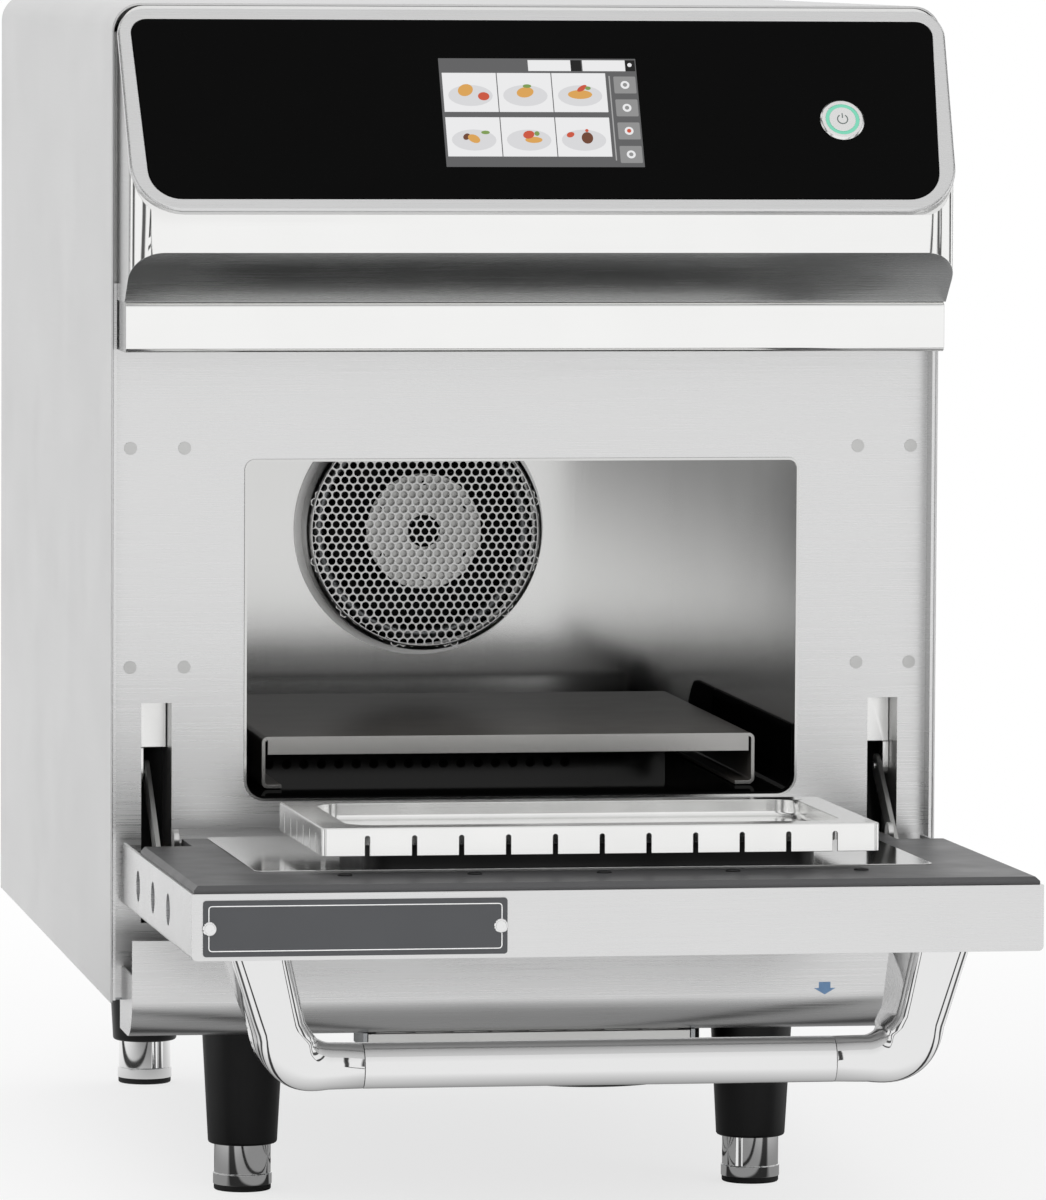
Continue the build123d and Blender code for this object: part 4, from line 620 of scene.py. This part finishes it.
def studio_world():
    """A white studio: plain soft light, white to the eye, with dark flags in the mirrored view."""
    world = bpy.data.worlds.new("studio")
    world.use_nodes = True
    tree = world.node_tree
    tree.nodes.clear()
    aim = add(tree, "ShaderNodeSeparateXYZ", {0: add(tree, "ShaderNodeTexCoord").outputs["Generated"]})
    height = spread(tree, aim.outputs["Z"], 0, 1, -1, 1)
    soft_sky = sky_ramp(tree, height, [(0.0, 0.55), (0.47, 0.60), (0.53, 0.72), (0.66, 0.92), (1.0, 1.05)])
    mirrored = sky_ramp(tree, height, [(0.0, 0.9), (0.5, 1.0), (0.62, 1.0), (0.8, 0.9), (1.0, 0.8)])
    flags = dark_flags(tree, aim.outputs["X"])
    shaded = add(tree, "ShaderNodeMix", {"Factor": 1.0, "A": mirrored, "B": flags},
                 data_type="RGBA", blend_type="MULTIPLY").outputs["Result"]
    soft, mirror, white = (add(tree, "ShaderNodeBackground", {"Color": tone, "Strength": power}).outputs[0]
                           for tone, power in ((soft_sky, 0.9), (shaded, 1), (WHITE, 1)))
    path = add(tree, "ShaderNodeLightPath").outputs
    clear = maths(tree, "MAXIMUM", path["Is Camera Ray"], path["Is Transmission Ray"])
    both = add(tree, "ShaderNodeMixShader", {0: path["Is Glossy Ray"], 1: soft, 2: mirror})
    both = add(tree, "ShaderNodeMixShader", {0: clear, 1: both.outputs[0], 2: white})
    add(tree, "ShaderNodeOutputWorld", {"Surface": both.outputs[0]})
    return world


# The lamps: name, place, width and power. The oven's middle height is what they aim at.
LAMPS = (("key_box", (-1.6, -2.4, 2.2), 1.6, 34), ("fill_box", (1.9, -2.2, 1.3), 1.4, 14),
         ("front_box", (0.0, -3.6, 1.2), 1.8, 22))
LAMP_AIM_HEIGHT = 0.32
FLOOR_REACH = 60
# The photograph's camera, worked out from its straight edges: its turns, its lens and its place
YAW, PITCH, ROLL = 0.1581, 0.0741, 0.0055
FOCAL_LENGTH = 269.65
EYE_X, EYE_AWAY, EYE_HEIGHT = -0.6942, 4.356, 0.627


class OVEN_OT_stage(bpy.types.Operator):
    """Make the pale floor, the studio light and the camera"""

    bl_idname = "oven.stage"
    bl_label = "Stage"

    def execute(self, context):
        scene = context.scene
        scene.view_settings.view_transform = "Standard"
        floor = bpy.data.meshes.new("floor")
        corners = [(x * FLOOR_REACH, y * FLOOR_REACH, 0) for x, y in ((-1, -1), (1, -1), (1, 1), (-1, 1))]
        floor.from_pydata(corners, [], [(0, 1, 2, 3)])
        floor_object = linked("floor", floor)
        floor_object.location.z = cad_box[0][2] - 0.2 * MM
        floor.materials.append(floor_paper())
        scene.world = studio_world()

        aim_at = Vector((0, FACE, LAMP_AIM_HEIGHT))
        for name, place_at, wide, power in LAMPS:
            lamp = bpy.data.lights.new(name, "AREA")
            lamp.shape = "SQUARE"
            lamp.size = wide
            lamp.energy = power
            lamp_object = linked(name, lamp)
            lamp_object.location = place_at
            lamp_object.rotation_euler = (aim_at - Vector(place_at)).to_track_quat("-Z", "Y").to_euler()
            lamp_object.visible_glossy = False

        forward = Vector((sin(YAW) * cos(PITCH), cos(YAW) * cos(PITCH), -sin(PITCH)))
        right = Vector((cos(YAW), -sin(YAW), 0))
        up = right.cross(forward)
        tilted = cos(ROLL) * right + sin(ROLL) * up
        upright = cos(ROLL) * up - sin(ROLL) * right
        lens = bpy.data.cameras.new("photo_view")
        lens.sensor_fit = "VERTICAL"
        lens.sensor_height = 36
        lens.lens = FOCAL_LENGTH
        lens.clip_end = 100
        camera = linked("photo_view", lens)
        turn = Matrix((tilted, upright, -forward)).transposed().to_4x4()
        camera.matrix_world = Matrix.Translation((EYE_X, FACE - EYE_AWAY, EYE_HEIGHT)) @ turn
        scene.camera = camera
        return {"FINISHED"}


class OVEN_OT_sheet_metal(bpy.types.Operator):
    """Give every CAD node its finish, and round the edges of those that show"""

    bl_idname = "oven.sheet_metal"
    bl_label = "Finishes"

    def execute(self, context):
        make_finishes(context.scene.oven_colours)
        for node, (finish, rounding) in LOOKS.items():
            mesh = nodes[node].data
            mesh.materials.clear()
            mesh.materials.append(finishes[finish])
            if rounding:
                dress(node, finish, rounding)
        return {"FINISHED"}


# The cavity's back wall and roof, and the circle of the hub plate's screws in millimetres
BACK_WALL = FACE + 352 * MM
ROOF = 384.2 * MM
RING_SCREWS = 25.5


class OVEN_OT_fan_cover(bpy.types.Operator):
    """Make the perforated fan cover"""

    bl_idname = "oven.fan_cover"
    bl_label = "Fan cover"

    def execute(self, context):
        sizes = context.scene.oven_sizes
        low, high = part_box("fan_cover")
        centre = Vector(((low.x + high.x) / 2, 0, (low.z + high.z) / 2))
        front, back = low.y, high.y
        rim = (high.x - low.x) / 2
        dome, sheet, corner = 63 * MM, 1.2 * MM, 3 * MM
        face = dome - sizes.cover_margin
        profile = [(face, front), *quarter(dome - corner, front + corner, corner, -90, 15),
                   (dome, back - sheet), (rim, back - sheet), (rim, back), (dome - sheet, back),
                   (dome - sheet, front + corner), (dome - corner, front + sheet), (face, front + sheet)]
        shell = keep_piece(lathe(profile, centre, 96), "fan_cover_rim", "perforated", "fan_cover")
        shell.data.set_sharp_from_angle(angle=radians(40))
        cell = hole_cell(sizes.hole_width, sizes.hole_pitch)
        tree = instanced_tree("perforation", [("Pitch", "NodeSocketFloat"), ("Radius", "NodeSocketFloat")],
                              hole_points)
        mesh = baked("fan_cover_face", tree, {"Shape": cell, "Finish": finishes["perforated"],
                                              "Pitch": sizes.hole_pitch, "Radius": face + 0.4 * MM})
        bpy.data.objects.remove(cell)
        mesh.transform(Matrix.Translation((centre.x, front + 0.25 * MM, centre.z)))
        grid = keep_piece(mesh, "fan_cover_face", "perforated", "fan_cover")
        wall = grid.modifiers.new("wall", "SOLIDIFY")
        wall.thickness = sizes.cover_sheet
        wall.offset = -1
        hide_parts("fan_cover")
        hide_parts("fan_cover")
        # A black disc on the back wall behind the fan: painted shade, so that the cover's holes look dark
        profile = [(radius * MM, BACK_WALL - gap * MM)
                   for radius, gap in ((7.5, 0.9), (61, 0.9), (61, 0.1), (7.5, 0.1))]
        keep_piece(lathe(profile, centre, 64), "fan_back_disc", "enamel", "fan_cover")
        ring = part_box("fan_hub_plate")[0].y - FACE
        turns = [radians(60 * k + 30) for k in range(6)]
        spots = [(RING_SCREWS * cos(a), ring / MM, centre.z / MM + RING_SCREWS * sin(a)) for a in turns]
        head = turned_head([(1.3, 0), (1.3, -0.3)], 12)
        scattered("fan_ring_screws", head, spots, "enamel", "fan_hub_plate")
        # A black plate under the cavity's roof: painted shade for the dark top of the cavity
        half, near, far = 128 * MM, FACE + 20 * MM, BACK_WALL - 30 * MM
        work = bmesh.new()
        flat_shape(work, [(-half, near), (half, near), (half, far), (-half, far)], 1.2 * MM, ROOF - 1.4 * MM)
        keep_flat(work, Matrix(), "cavity_ceiling_plate", "enamel", "cavity_shell")
        return {"FINISHED"}


# How far the console's glass leans back from upright
FASCIA_LEAN = radians(30.3)


def fascia_frame():
    """The leaning face of the glass: a matrix from its own X, Y (up the face) and Z (outwards)."""
    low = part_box("fascia_glass")[0]
    up = Vector((0, sin(FASCIA_LEAN), cos(FASCIA_LEAN)))
    out = Vector((0, -cos(FASCIA_LEAN), sin(FASCIA_LEAN)))
    foot = Vector((0, low.y, low.z))
    reach = max((v.co - foot).dot(out) for v in nodes["fascia_glass"].data.vertices)
    lowest = min((v.co - foot).dot(up) for v in nodes["fascia_glass"].data.vertices)
    origin = foot + reach * out + lowest * up
    turn = Matrix((Vector((1, 0, 0)), up, out)).transposed().to_4x4()
    return Matrix.Translation(origin) @ turn


def on_fascia(node):
    """The glass's face as a matrix, and a node's left, right, foot, top and front on it."""
    place_at = fascia_frame()
    inverse = place_at.inverted()
    across, upwards, out = zip(*(inverse @ v.co for v in nodes[node].data.vertices))
    return place_at, min(across), max(across), min(upwards), max(upwards), max(out)


def flat_shape(work, points, thick, lift=0.0):
    """A thin flat tile of (x, y) points, with its back at a height."""
    low = [work.verts.new((x, y, lift)) for x, y in points]
    high = [work.verts.new((x, y, lift + thick)) for x, y in points]
    work.faces.new(high)
    work.faces.new(list(reversed(low)))
    for k in range(len(points)):
        j = (k + 1) % len(points)
        work.faces.new((low[k], low[j], high[j], high[k]))


def keep_flat(work, place_at, name, finish, node):
    """Put a flat shape in its place, turn its faces outwards and keep it."""
    work.transform(place_at)
    bmesh.ops.recalc_face_normals(work, faces=work.faces)
    return keep_piece(work, name, finish, node)


def quarter(x, y, bend, start, step):
    """Points of a quarter circle by its middle, from an angle on, every so many degrees."""
    return [(x + bend * cos(radians(start + a)), y + bend * sin(radians(start + a)))
            for a in range(0, 91, step)]


def rectangle(x, y, wide, tall, corner=0.0, step=30):
    """The corners of a rectangle by its middle, with its corners cut round."""
    points = []
    for sx, sy, start in ((1, -1, -90), (1, 1, 0), (-1, 1, 90), (-1, -1, 180)):
        cx, cy = x + sx * (wide / 2 - corner), y + sy * (tall / 2 - corner)
        points += quarter(cx, cy, corner, start, step) if corner else [(cx, cy)]
    return points


def oval(x, y, wide, tall, turn, steps=24):
    """The points of an ellipse by its middle."""
    c, s = cos(turn), sin(turn)
    ring = [(wide / 2 * cos(tau * k / steps), tall / 2 * sin(tau * k / steps)) for k in range(steps)]
    return [(x + a * c - b * s, y + a * s + b * c) for a, b in ring]


def ring_shape(work, outer, inner, thick, lift=0.0):
    """A thin flat ring between two closed outlines of as many points."""
    for k in range(len(outer)):
        j = (k + 1) % len(outer)
        flat_shape(work, [inner[k], outer[k], outer[j], inner[j]], thick, lift)
    bmesh.ops.remove_doubles(work, verts=work.verts, dist=0.001 * MM)
    middles = {face: face.calc_center_median() for face in work.faces}
    inside = [face for face, middle in middles.items()
              if sum((middle - other).length < 0.0005 * MM for other in middles.values()) > 1]
    bmesh.ops.delete(work, geom=inside, context="FACES_ONLY")


def turned_head(profile, steps, turn=Matrix()):
    """A small round head facing -Y or turned, from an open (radius, depth) profile in millimetres."""
    work = bmesh.new()
    rings = [[work.verts.new((r * MM * cos(tau * s / steps), y * MM, r * MM * sin(tau * s / steps)))
              for s in range(steps)] for r, y in profile]
    skin(work, rings)
    work.faces.new(rings[0])
    work.faces.new(rings[-1])
    bmesh.ops.recalc_face_normals(work, faces=work.faces)
    work.transform(turn)
    return linked("head", mesh_of("head", work))


def scattered(name, head, spots, finish, node, turn=Matrix()):
    """Set one small head on many spots through Geometry Nodes, as one plain piece."""
    cloud = bpy.data.meshes.new(name + "_spots")
    cloud.from_pydata([tuple(c * MM for c in spot) for spot in spots], [], [])
    places = linked(name + "_spots", cloud)

    def spot_points(tree, given):
        return add(tree, "GeometryNodeObjectInfo", {"Object": given.outputs["Places"]}).outputs["Geometry"]

    tree = instanced_tree(name, [("Places", "NodeSocketObject")], spot_points)
    mesh = baked(name, tree, {"Shape": head, "Places": places, "Finish": finishes[finish]})
    bpy.data.objects.remove(head)
    bpy.data.objects.remove(places)
    mesh.transform(ON_FACE @ turn)
    return keep_piece(mesh, name, finish, node)


# The door is described shut here and is turned open about its hinge line
HINGE = Vector((0, -34 * MM, 155 * MM))
OPENED = (Matrix.Translation(HINGE) @ Matrix.Rotation(radians(89.1), 4, "X")
          @ Matrix.Translation(-HINGE))
# The label plate with the door shut, in millimetres: its middle in depth, and its face
LABEL_DEPTH, LABEL_FACE = -21.55, 415.8


class OVEN_OT_fasteners(bpy.types.Operator):
    """Make the ground welds, the door frame's screws and the label's rivets"""

    bl_idname = "oven.fasteners"
    bl_label = "Fasteners"

    def execute(self, context):
        sizes = context.scene.oven_sizes
        weld, screw, rivet = (width / 2 / MM for width in (sizes.weld_width, sizes.screw_width,
                                                           sizes.rivet_width))
        head = turned_head([(weld, 0), (weld, -0.3), (weld - 0.05, -0.35)], 24)
        spots = [(side * x, 0, z) for side in (-1, 1) for x in (167.5, 194.1) for z in (267.7, 375)]
        scattered("spot_welds", head, spots, "weld", "front_plate")

        head = turned_head([(screw, 0), (screw, -0.5), (screw * 0.8, -0.9), (screw * 0.4, -0.9),
                            (screw * 0.3, -0.5)], 20, Matrix.Rotation(pi, 4, "Z"))
        spots = [(k * sizes.screw_pitch / MM, -2, 368) for k in range(-2, 3)]
        scattered("door_frame_screws", head, spots, "nylon", "door_frame", OPENED)

        upwards = Matrix.Rotation(-pi / 2, 4, "X")
        profile = ((1, 0), (1, -0.35), (0.9, -0.7), (0.62, -0.8), (0.55, -0.55), (0.48, -1.0),
                   (0.32, -1.1), (0.26, -0.4))
        head = turned_head([(rivet * share, depth) for share, depth in profile], 28, upwards)
        spots = [(x, LABEL_DEPTH, LABEL_FACE) for x in (-191, -56)]
        rivets = scattered("label_rivet_heads", head, spots, "chrome", "label_rivets", OPENED)
        rivets.data.set_sharp_from_angle(angle=radians(30))
        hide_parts("label_rivets")
        # A dark disc deep in each rivet's bore: painted shade
        head = turned_head([(rivet * 0.25, -0.38), (rivet * 0.25, -0.45)], 16, upwards)
        scattered("label_rivet_bores", head, spots, "dark_gap", "label_rivets", OPENED)
        return {"FINISHED"}


# Sections of a handle end in millimetres, door shut: x, y, z, turn of the path, wide, tall, corner
LEG_TURN = 74
BAR_END = (111.8, -92.2, 353, 0, 21.2, 24, 9.8)
SHOULDER = (128, -92.2, 353, 0, 21.6, 26, 9.8)
LEG_LOW = (151.3, -73.5, 347, LEG_TURN, 23.6, 48, 7)
LEG_ROOT = (163.2, -30, 337, LEG_TURN, 27.4, 68, 6)
DOOR_FACE = -36.3
# The corner between bar and leg: how far its curve is pulled out, how much it swells, its steps
CORNER_PULL, CORNER_SWELL, CORNER_STEPS = 0.72, 4.2, 18
LEG_STEPS = 6


def handle_ring(x, y, z, turn, wide, tall, bend, side):
    """The points of one rounded section, square to the path of the handle's end."""
    a = radians(turn)
    return [Vector((side * (x + out * sin(a)), y - out * cos(a), z + up)) * MM
            for up, out in rectangle(0, 0, tall, wide, bend, 15)]


def along(points, t):
    """The place on a curve and its turn there, from the curve's guide points."""
    while len(points) > 2:
        points = [[a + t * (b - a) for a, b in zip(p, q)] for p, q in zip(points, points[1:])]
    (x, y), (far_x, far_y) = points
    return x + t * (far_x - x), y + t * (far_y - y), degrees(atan2(far_y - y, far_x - x))


def handle_stations():
    """The sections of a handle end, along the bar, round the soft corner and up the leg."""
    *start, wide, tall, bend = BAR_END
    stations = [(*start, wide - 0.6, tall - 0.6, bend - 0.3), (112.1, *BAR_END[1:]), SHOULDER]
    ends = [SHOULDER[:2], LEG_LOW[:2]]
    corner = (LEG_LOW[0] - (LEG_LOW[1] - SHOULDER[1]) / tan(radians(LEG_TURN)), SHOULDER[1])
    guides = [[e + CORNER_PULL * (c - e) for e, c in zip(end, corner)] for end in ends]
    for k in range(1, CORNER_STEPS + 1):
        t = k / CORNER_STEPS
        x, y, turn = along([ends[0], *guides, ends[1]], t)
        soft = t * t * (3 - 2 * t)
        z, _, wide, tall, bend = (a + (b - a) * soft for a, b in zip(SHOULDER[2:], LEG_LOW[2:]))
        stations.append((x, y, z, turn, wide + CORNER_SWELL * sin(pi * t), tall, bend))
    for k in range(1, LEG_STEPS + 1):
        stations.append(tuple(a + (b - a) * k / LEG_STEPS for a, b in zip(LEG_LOW, LEG_ROOT)))
    return stations


class OVEN_OT_handle_ends(bpy.types.Operator):
    """Make the two cast ends of the handle, smooth from the bar to the door"""

    bl_idname = "oven.handle_ends"
    bl_label = "Handle ends"

    def execute(self, context):
        leg_turn = radians(LEG_TURN)
        for side, node in ((-1, "handle_end_left"), (1, "handle_end_right")):
            work = bmesh.new()
            rings = [handle_ring(*station, side) for station in handle_stations()]
            leg = Vector((side * cos(leg_turn), sin(leg_turn), 0))
            rings[-1] = [p + leg * ((DOOR_FACE * MM - p.y) / leg.y) for p in rings[-1]]
            rings[-2] = [p - leg * max(0, (p.y - (DOOR_FACE - 1.5) * MM) / leg.y) for p in rings[-2]]
            rows = [[work.verts.new(p) for p in ring] for ring in rings]
            skin(work, rows)
            work.faces.new(rows[0])
            work.faces.new(rows[-1])
            work.transform(ON_FACE @ OPENED)
            smoothed(work)
            piece = keep_piece(work, node + "_cast", "chrome", node)
            piece.data.set_sharp_from_angle(angle=radians(50))
            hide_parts(node)
        return {"FINISHED"}


def opening_outline(grow):
    """The opening's outline of (x, z) points, grown outwards; its lower corners are rounder."""
    half, low, high = 136.7 * MM + grow, 202.7 * MM - grow, 368.2 * MM + grow
    points = []
    for sx, z, sz, start, bend in ((1, low, -1, -90, 9 * MM), (1, high, 1, 0, 4 * MM),
                                   (-1, high, 1, 90, 4 * MM), (-1, low, -1, 180, 9 * MM)):
        bend += grow
        points += quarter(sx * (half - bend), z - sz * bend, bend, start, 15)
    return points


class OVEN_OT_edges(bpy.types.Operator):
    """Make the opening's edge, darkened with painted shade, and the label's border"""

    bl_idname = "oven.edges"
    bl_label = "Edges and lines"

    def execute(self, context):
        sizes = context.scene.oven_sizes
        work = bmesh.new()
        # The opening's rim: a flat ring darker than the face, painted shade for the rolled edge
        ring_shape(work, opening_outline(sizes.rim_width), opening_outline(0), 0.3 * MM)
        rim = keep_flat(work, ON_FACE @ UPRIGHT, "opening_rim", "rolled_edge_shade", "cavity_shell")
        rounded_edges(rim, 0.1, 60)

        work = bmesh.new()
        inset, bend, line = 2.4 * MM, 1.6 * MM, sizes.line_width
        x, y = -123.5 * MM, LABEL_DEPTH * MM
        wide, tall = 141 * MM - 2 * inset, 25.9 * MM - 2 * inset
        ring_shape(work, rectangle(x, y, wide, tall, bend),
                   rectangle(x, y, wide - 2 * line, tall - 2 * line, bend - line),
                   0.05 * MM, LABEL_FACE * MM)
        keep_flat(work, ON_FACE @ OPENED, "label_border", "label_line", "label_plate")
        return {"FINISHED"}


# Plain tiles on the display: finish, and left, foot, right and top as shares of its face
TILES = (("screen_white", 0.452, 0.885, 0.668, 0.985), ("screen_black", 0.668, 0.885, 0.722, 0.985),
         ("screen_white", 0.728, 0.885, 0.945, 0.985), ("screen_black", 0.945, 0.885, 0.995, 0.985))
COLUMNS = ((0.012, 0.285), (0.290, 0.562), (0.567, 0.840))
ROWS = ((0.505, 0.865), (0.095, 0.455))
# Shapes of the dishes, row by row: finish, way to the right, way up, width, height and turn
DISHES = (
    (("dish_gold", -0.02, 0.01, 0.055, 0.045, 0.5), ("dish_red", 0.055, -0.02, 0.04, 0.032, 0)),
    (("dish_gold", 0.0, 0.0, 0.06, 0.04, 0.2), ("dish_green", 0.01, 0.03, 0.03, 0.014, 0)),
    (("dish_gold", 0.0, -0.01, 0.085, 0.035, 0), ("dish_red", 0.01, 0.02, 0.04, 0.018, 0.6),
     ("dish_green", 0.035, 0.02, 0.02, 0.014, 0)),
    (("dish_brown", -0.03, 0.0, 0.028, 0.022, 0.8), ("dish_gold", 0.0, -0.01, 0.045, 0.03, -0.5),
     ("dish_green", 0.05, 0.02, 0.03, 0.014, 0)),
    (("dish_gold", 0.02, -0.015, 0.06, 0.024, 0), ("dish_red", 0.0, 0.01, 0.04, 0.03, 0.3),
     ("dish_green", 0.035, 0.015, 0.018, 0.018, 0)),
    (("dish_brown", 0.015, -0.005, 0.04, 0.045, 0), ("dish_red", -0.055, 0.01, 0.028, 0.02, 0.4),
     ("dish_red", 0.015, 0.03, 0.012, 0.012, 0)))
# The dishes' shapes are drawn larger than they are listed: along, up and in size
DISH_ALONG, DISH_UP, DISH_SIZE = 1.2, 1.9, 1.45
# Keys at the display's side, from the top: height of the middle, and the finish of the sign
KEYS = ((0.757, "screen_key"), (0.545, "screen_key"), (0.332, "dish_red"), (0.115, "screen_key"))


class OVEN_OT_display(bpy.types.Operator):
    """Make the touch display's plain tiles, keys and dish pictures"""

    bl_idname = "oven.display"
    bl_label = "Display"

    def execute(self, context):
        place_at, left, right, foot, top, face = on_fascia("touch_screen")
        wide, tall = right - left, top - foot
        thin = context.scene.oven_sizes.print_proud
        layers = {}

        def tile(finish, u0, v0, u1, v1, corner=0.0):
            x0, x1, y0, y1 = left + u0 * wide, left + u1 * wide, foot + v0 * tall, foot + v1 * tall
            points = rectangle((x0 + x1) / 2, (y0 + y1) / 2, x1 - x0, y1 - y0, corner)
            layers.setdefault((finish, 0), []).append(points)

        def blob(finish, u, v, w, h, level=1, turn=0.0):
            points = oval(left + u * wide, foot + v * tall, w * wide, h * wide, turn)
            layers.setdefault((finish, level), []).append(points)

        for shape in TILES:
            tile(*shape)
        blob("screen_white", 0.968, 0.942, 0.022, 0.022)
        spots = [(column, row) for row in ROWS for column in COLUMNS]
        for ((u0, u1), (v0, v1)), dish in zip(spots, DISHES):
            tile("screen_white", u0, v0, u1, v1)
            u, v = (u0 + u1) / 2, (v0 + v1) / 2
            blob("dish_pale", u, v - 0.03, 0.225, 0.12)
            for level, (finish, du, dv, w, h, turn) in enumerate(dish, 2):
                blob(finish, u + du * DISH_ALONG, v + dv * DISH_UP, w * DISH_SIZE, h * DISH_SIZE, level, turn)
        tile("screen_line", 0.856, 0.06, 0.862, 0.84)
        for v, sign in KEYS:
            tile("screen_key", 0.880, v - 0.078, 0.992, v + 0.078, 0.6 * MM)
            blob("screen_white", 0.936, v, 0.045, 0.045)
            blob(sign, 0.936, v, 0.022, 0.022, 2)
        for (finish, level), shapes in layers.items():
            work = bmesh.new()
            for points in shapes:
                flat_shape(work, points, thin, face + level * thin)
            keep_flat(work, place_at, f"display_{finish}_{level}", finish, "touch_screen")
        return {"FINISHED"}


class OVEN_OT_power_symbol(bpy.types.Operator):
    """Make the power symbol on the button's cap"""

    bl_idname = "oven.power_symbol"
    bl_label = "Power symbol"

    def execute(self, context):
        place_at, left, right, foot, top, face = on_fascia("button_cap")
        x, y = (left + right) / 2, (foot + top) / 2
        thin, inner, outer = 0.06 * MM, 2.2 * MM, 2.8 * MM
        gap, steps = 32, 24
        turns = [radians(90 + gap + k * (360 - 2 * gap) / steps) for k in range(steps + 1)]
        back, ring = ([(x + r * cos(a), y + r * sin(a)) for a in turns] for r in (inner, outer))
        work = bmesh.new()
        for k in range(steps):
            flat_shape(work, [back[k], ring[k], ring[k + 1], back[k + 1]], thin, face)
        flat_shape(work, rectangle(x, y + 1.9 * MM, 0.6 * MM, 2.6 * MM), thin, face)
        bmesh.ops.remove_doubles(work, verts=work.verts, dist=0.001 * MM)
        keep_flat(work, place_at, "power_symbol", "symbol", "button_cap")
        return {"FINISHED"}


class OVEN_OT_cover_arrow(bpy.types.Operator):
    """Make the small arrow on the lower cover"""

    bl_idname = "oven.cover_arrow"
    bl_label = "Cover arrow"

    def execute(self, context):
        place_at = Matrix.Translation((144 * MM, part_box("lower_cover")[0].y, 111 * MM))
        points = [(-2.9, 3), (-2.9, 0), (-5.4, 0), (0, -3.2), (5.4, 0), (2.9, 0), (2.9, 3)]
        work = bmesh.new()
        flat_shape(work, [(a * MM, b * MM) for a, b in points], context.scene.oven_sizes.print_proud)
        keep_flat(work, place_at @ UPRIGHT, "cover_arrow", "arrow", "lower_cover")
        return {"FINISHED"}


CLASSES = (OvenColours, OvenSizes, OVEN_OT_stage, OVEN_OT_sheet_metal, OVEN_OT_fan_cover,
           OVEN_OT_fasteners, OVEN_OT_handle_ends, OVEN_OT_edges, OVEN_OT_display, OVEN_OT_power_symbol,
           OVEN_OT_cover_arrow)
STEPS = [c for c in CLASSES if hasattr(c, "bl_idname") and c.bl_idname.startswith("oven.")]


class OVEN_PT_panel(bpy.types.Panel):
    """The steps that finish the oven, in order"""

    bl_idname = "OVEN_PT_panel"
    bl_label = "Speed oven"
    bl_space_type = "VIEW_3D"
    bl_region_type = "UI"
    bl_category = "Oven"

    def draw(self, context):
        for step in STEPS:
            self.layout.operator(step.bl_idname)


def register():
    for item in (*CLASSES, OVEN_PT_panel):
        bpy.utils.register_class(item)
    bpy.types.Scene.oven_colours = bpy.props.PointerProperty(type=OvenColours)
    bpy.types.Scene.oven_sizes = bpy.props.PointerProperty(type=OvenSizes)


def unregister():
    del bpy.types.Scene.oven_sizes
    del bpy.types.Scene.oven_colours
    for item in (OVEN_PT_panel, *reversed(CLASSES)):
        bpy.utils.unregister_class(item)


def main():
    register()
    for name in ("sheet_metal", "fan_cover", "fasteners", "handle_ends", "edges", "display",
                 "power_symbol", "cover_arrow", "stage"):
        getattr(bpy.ops.oven, name)()


if __name__ == "__main__":
    main()
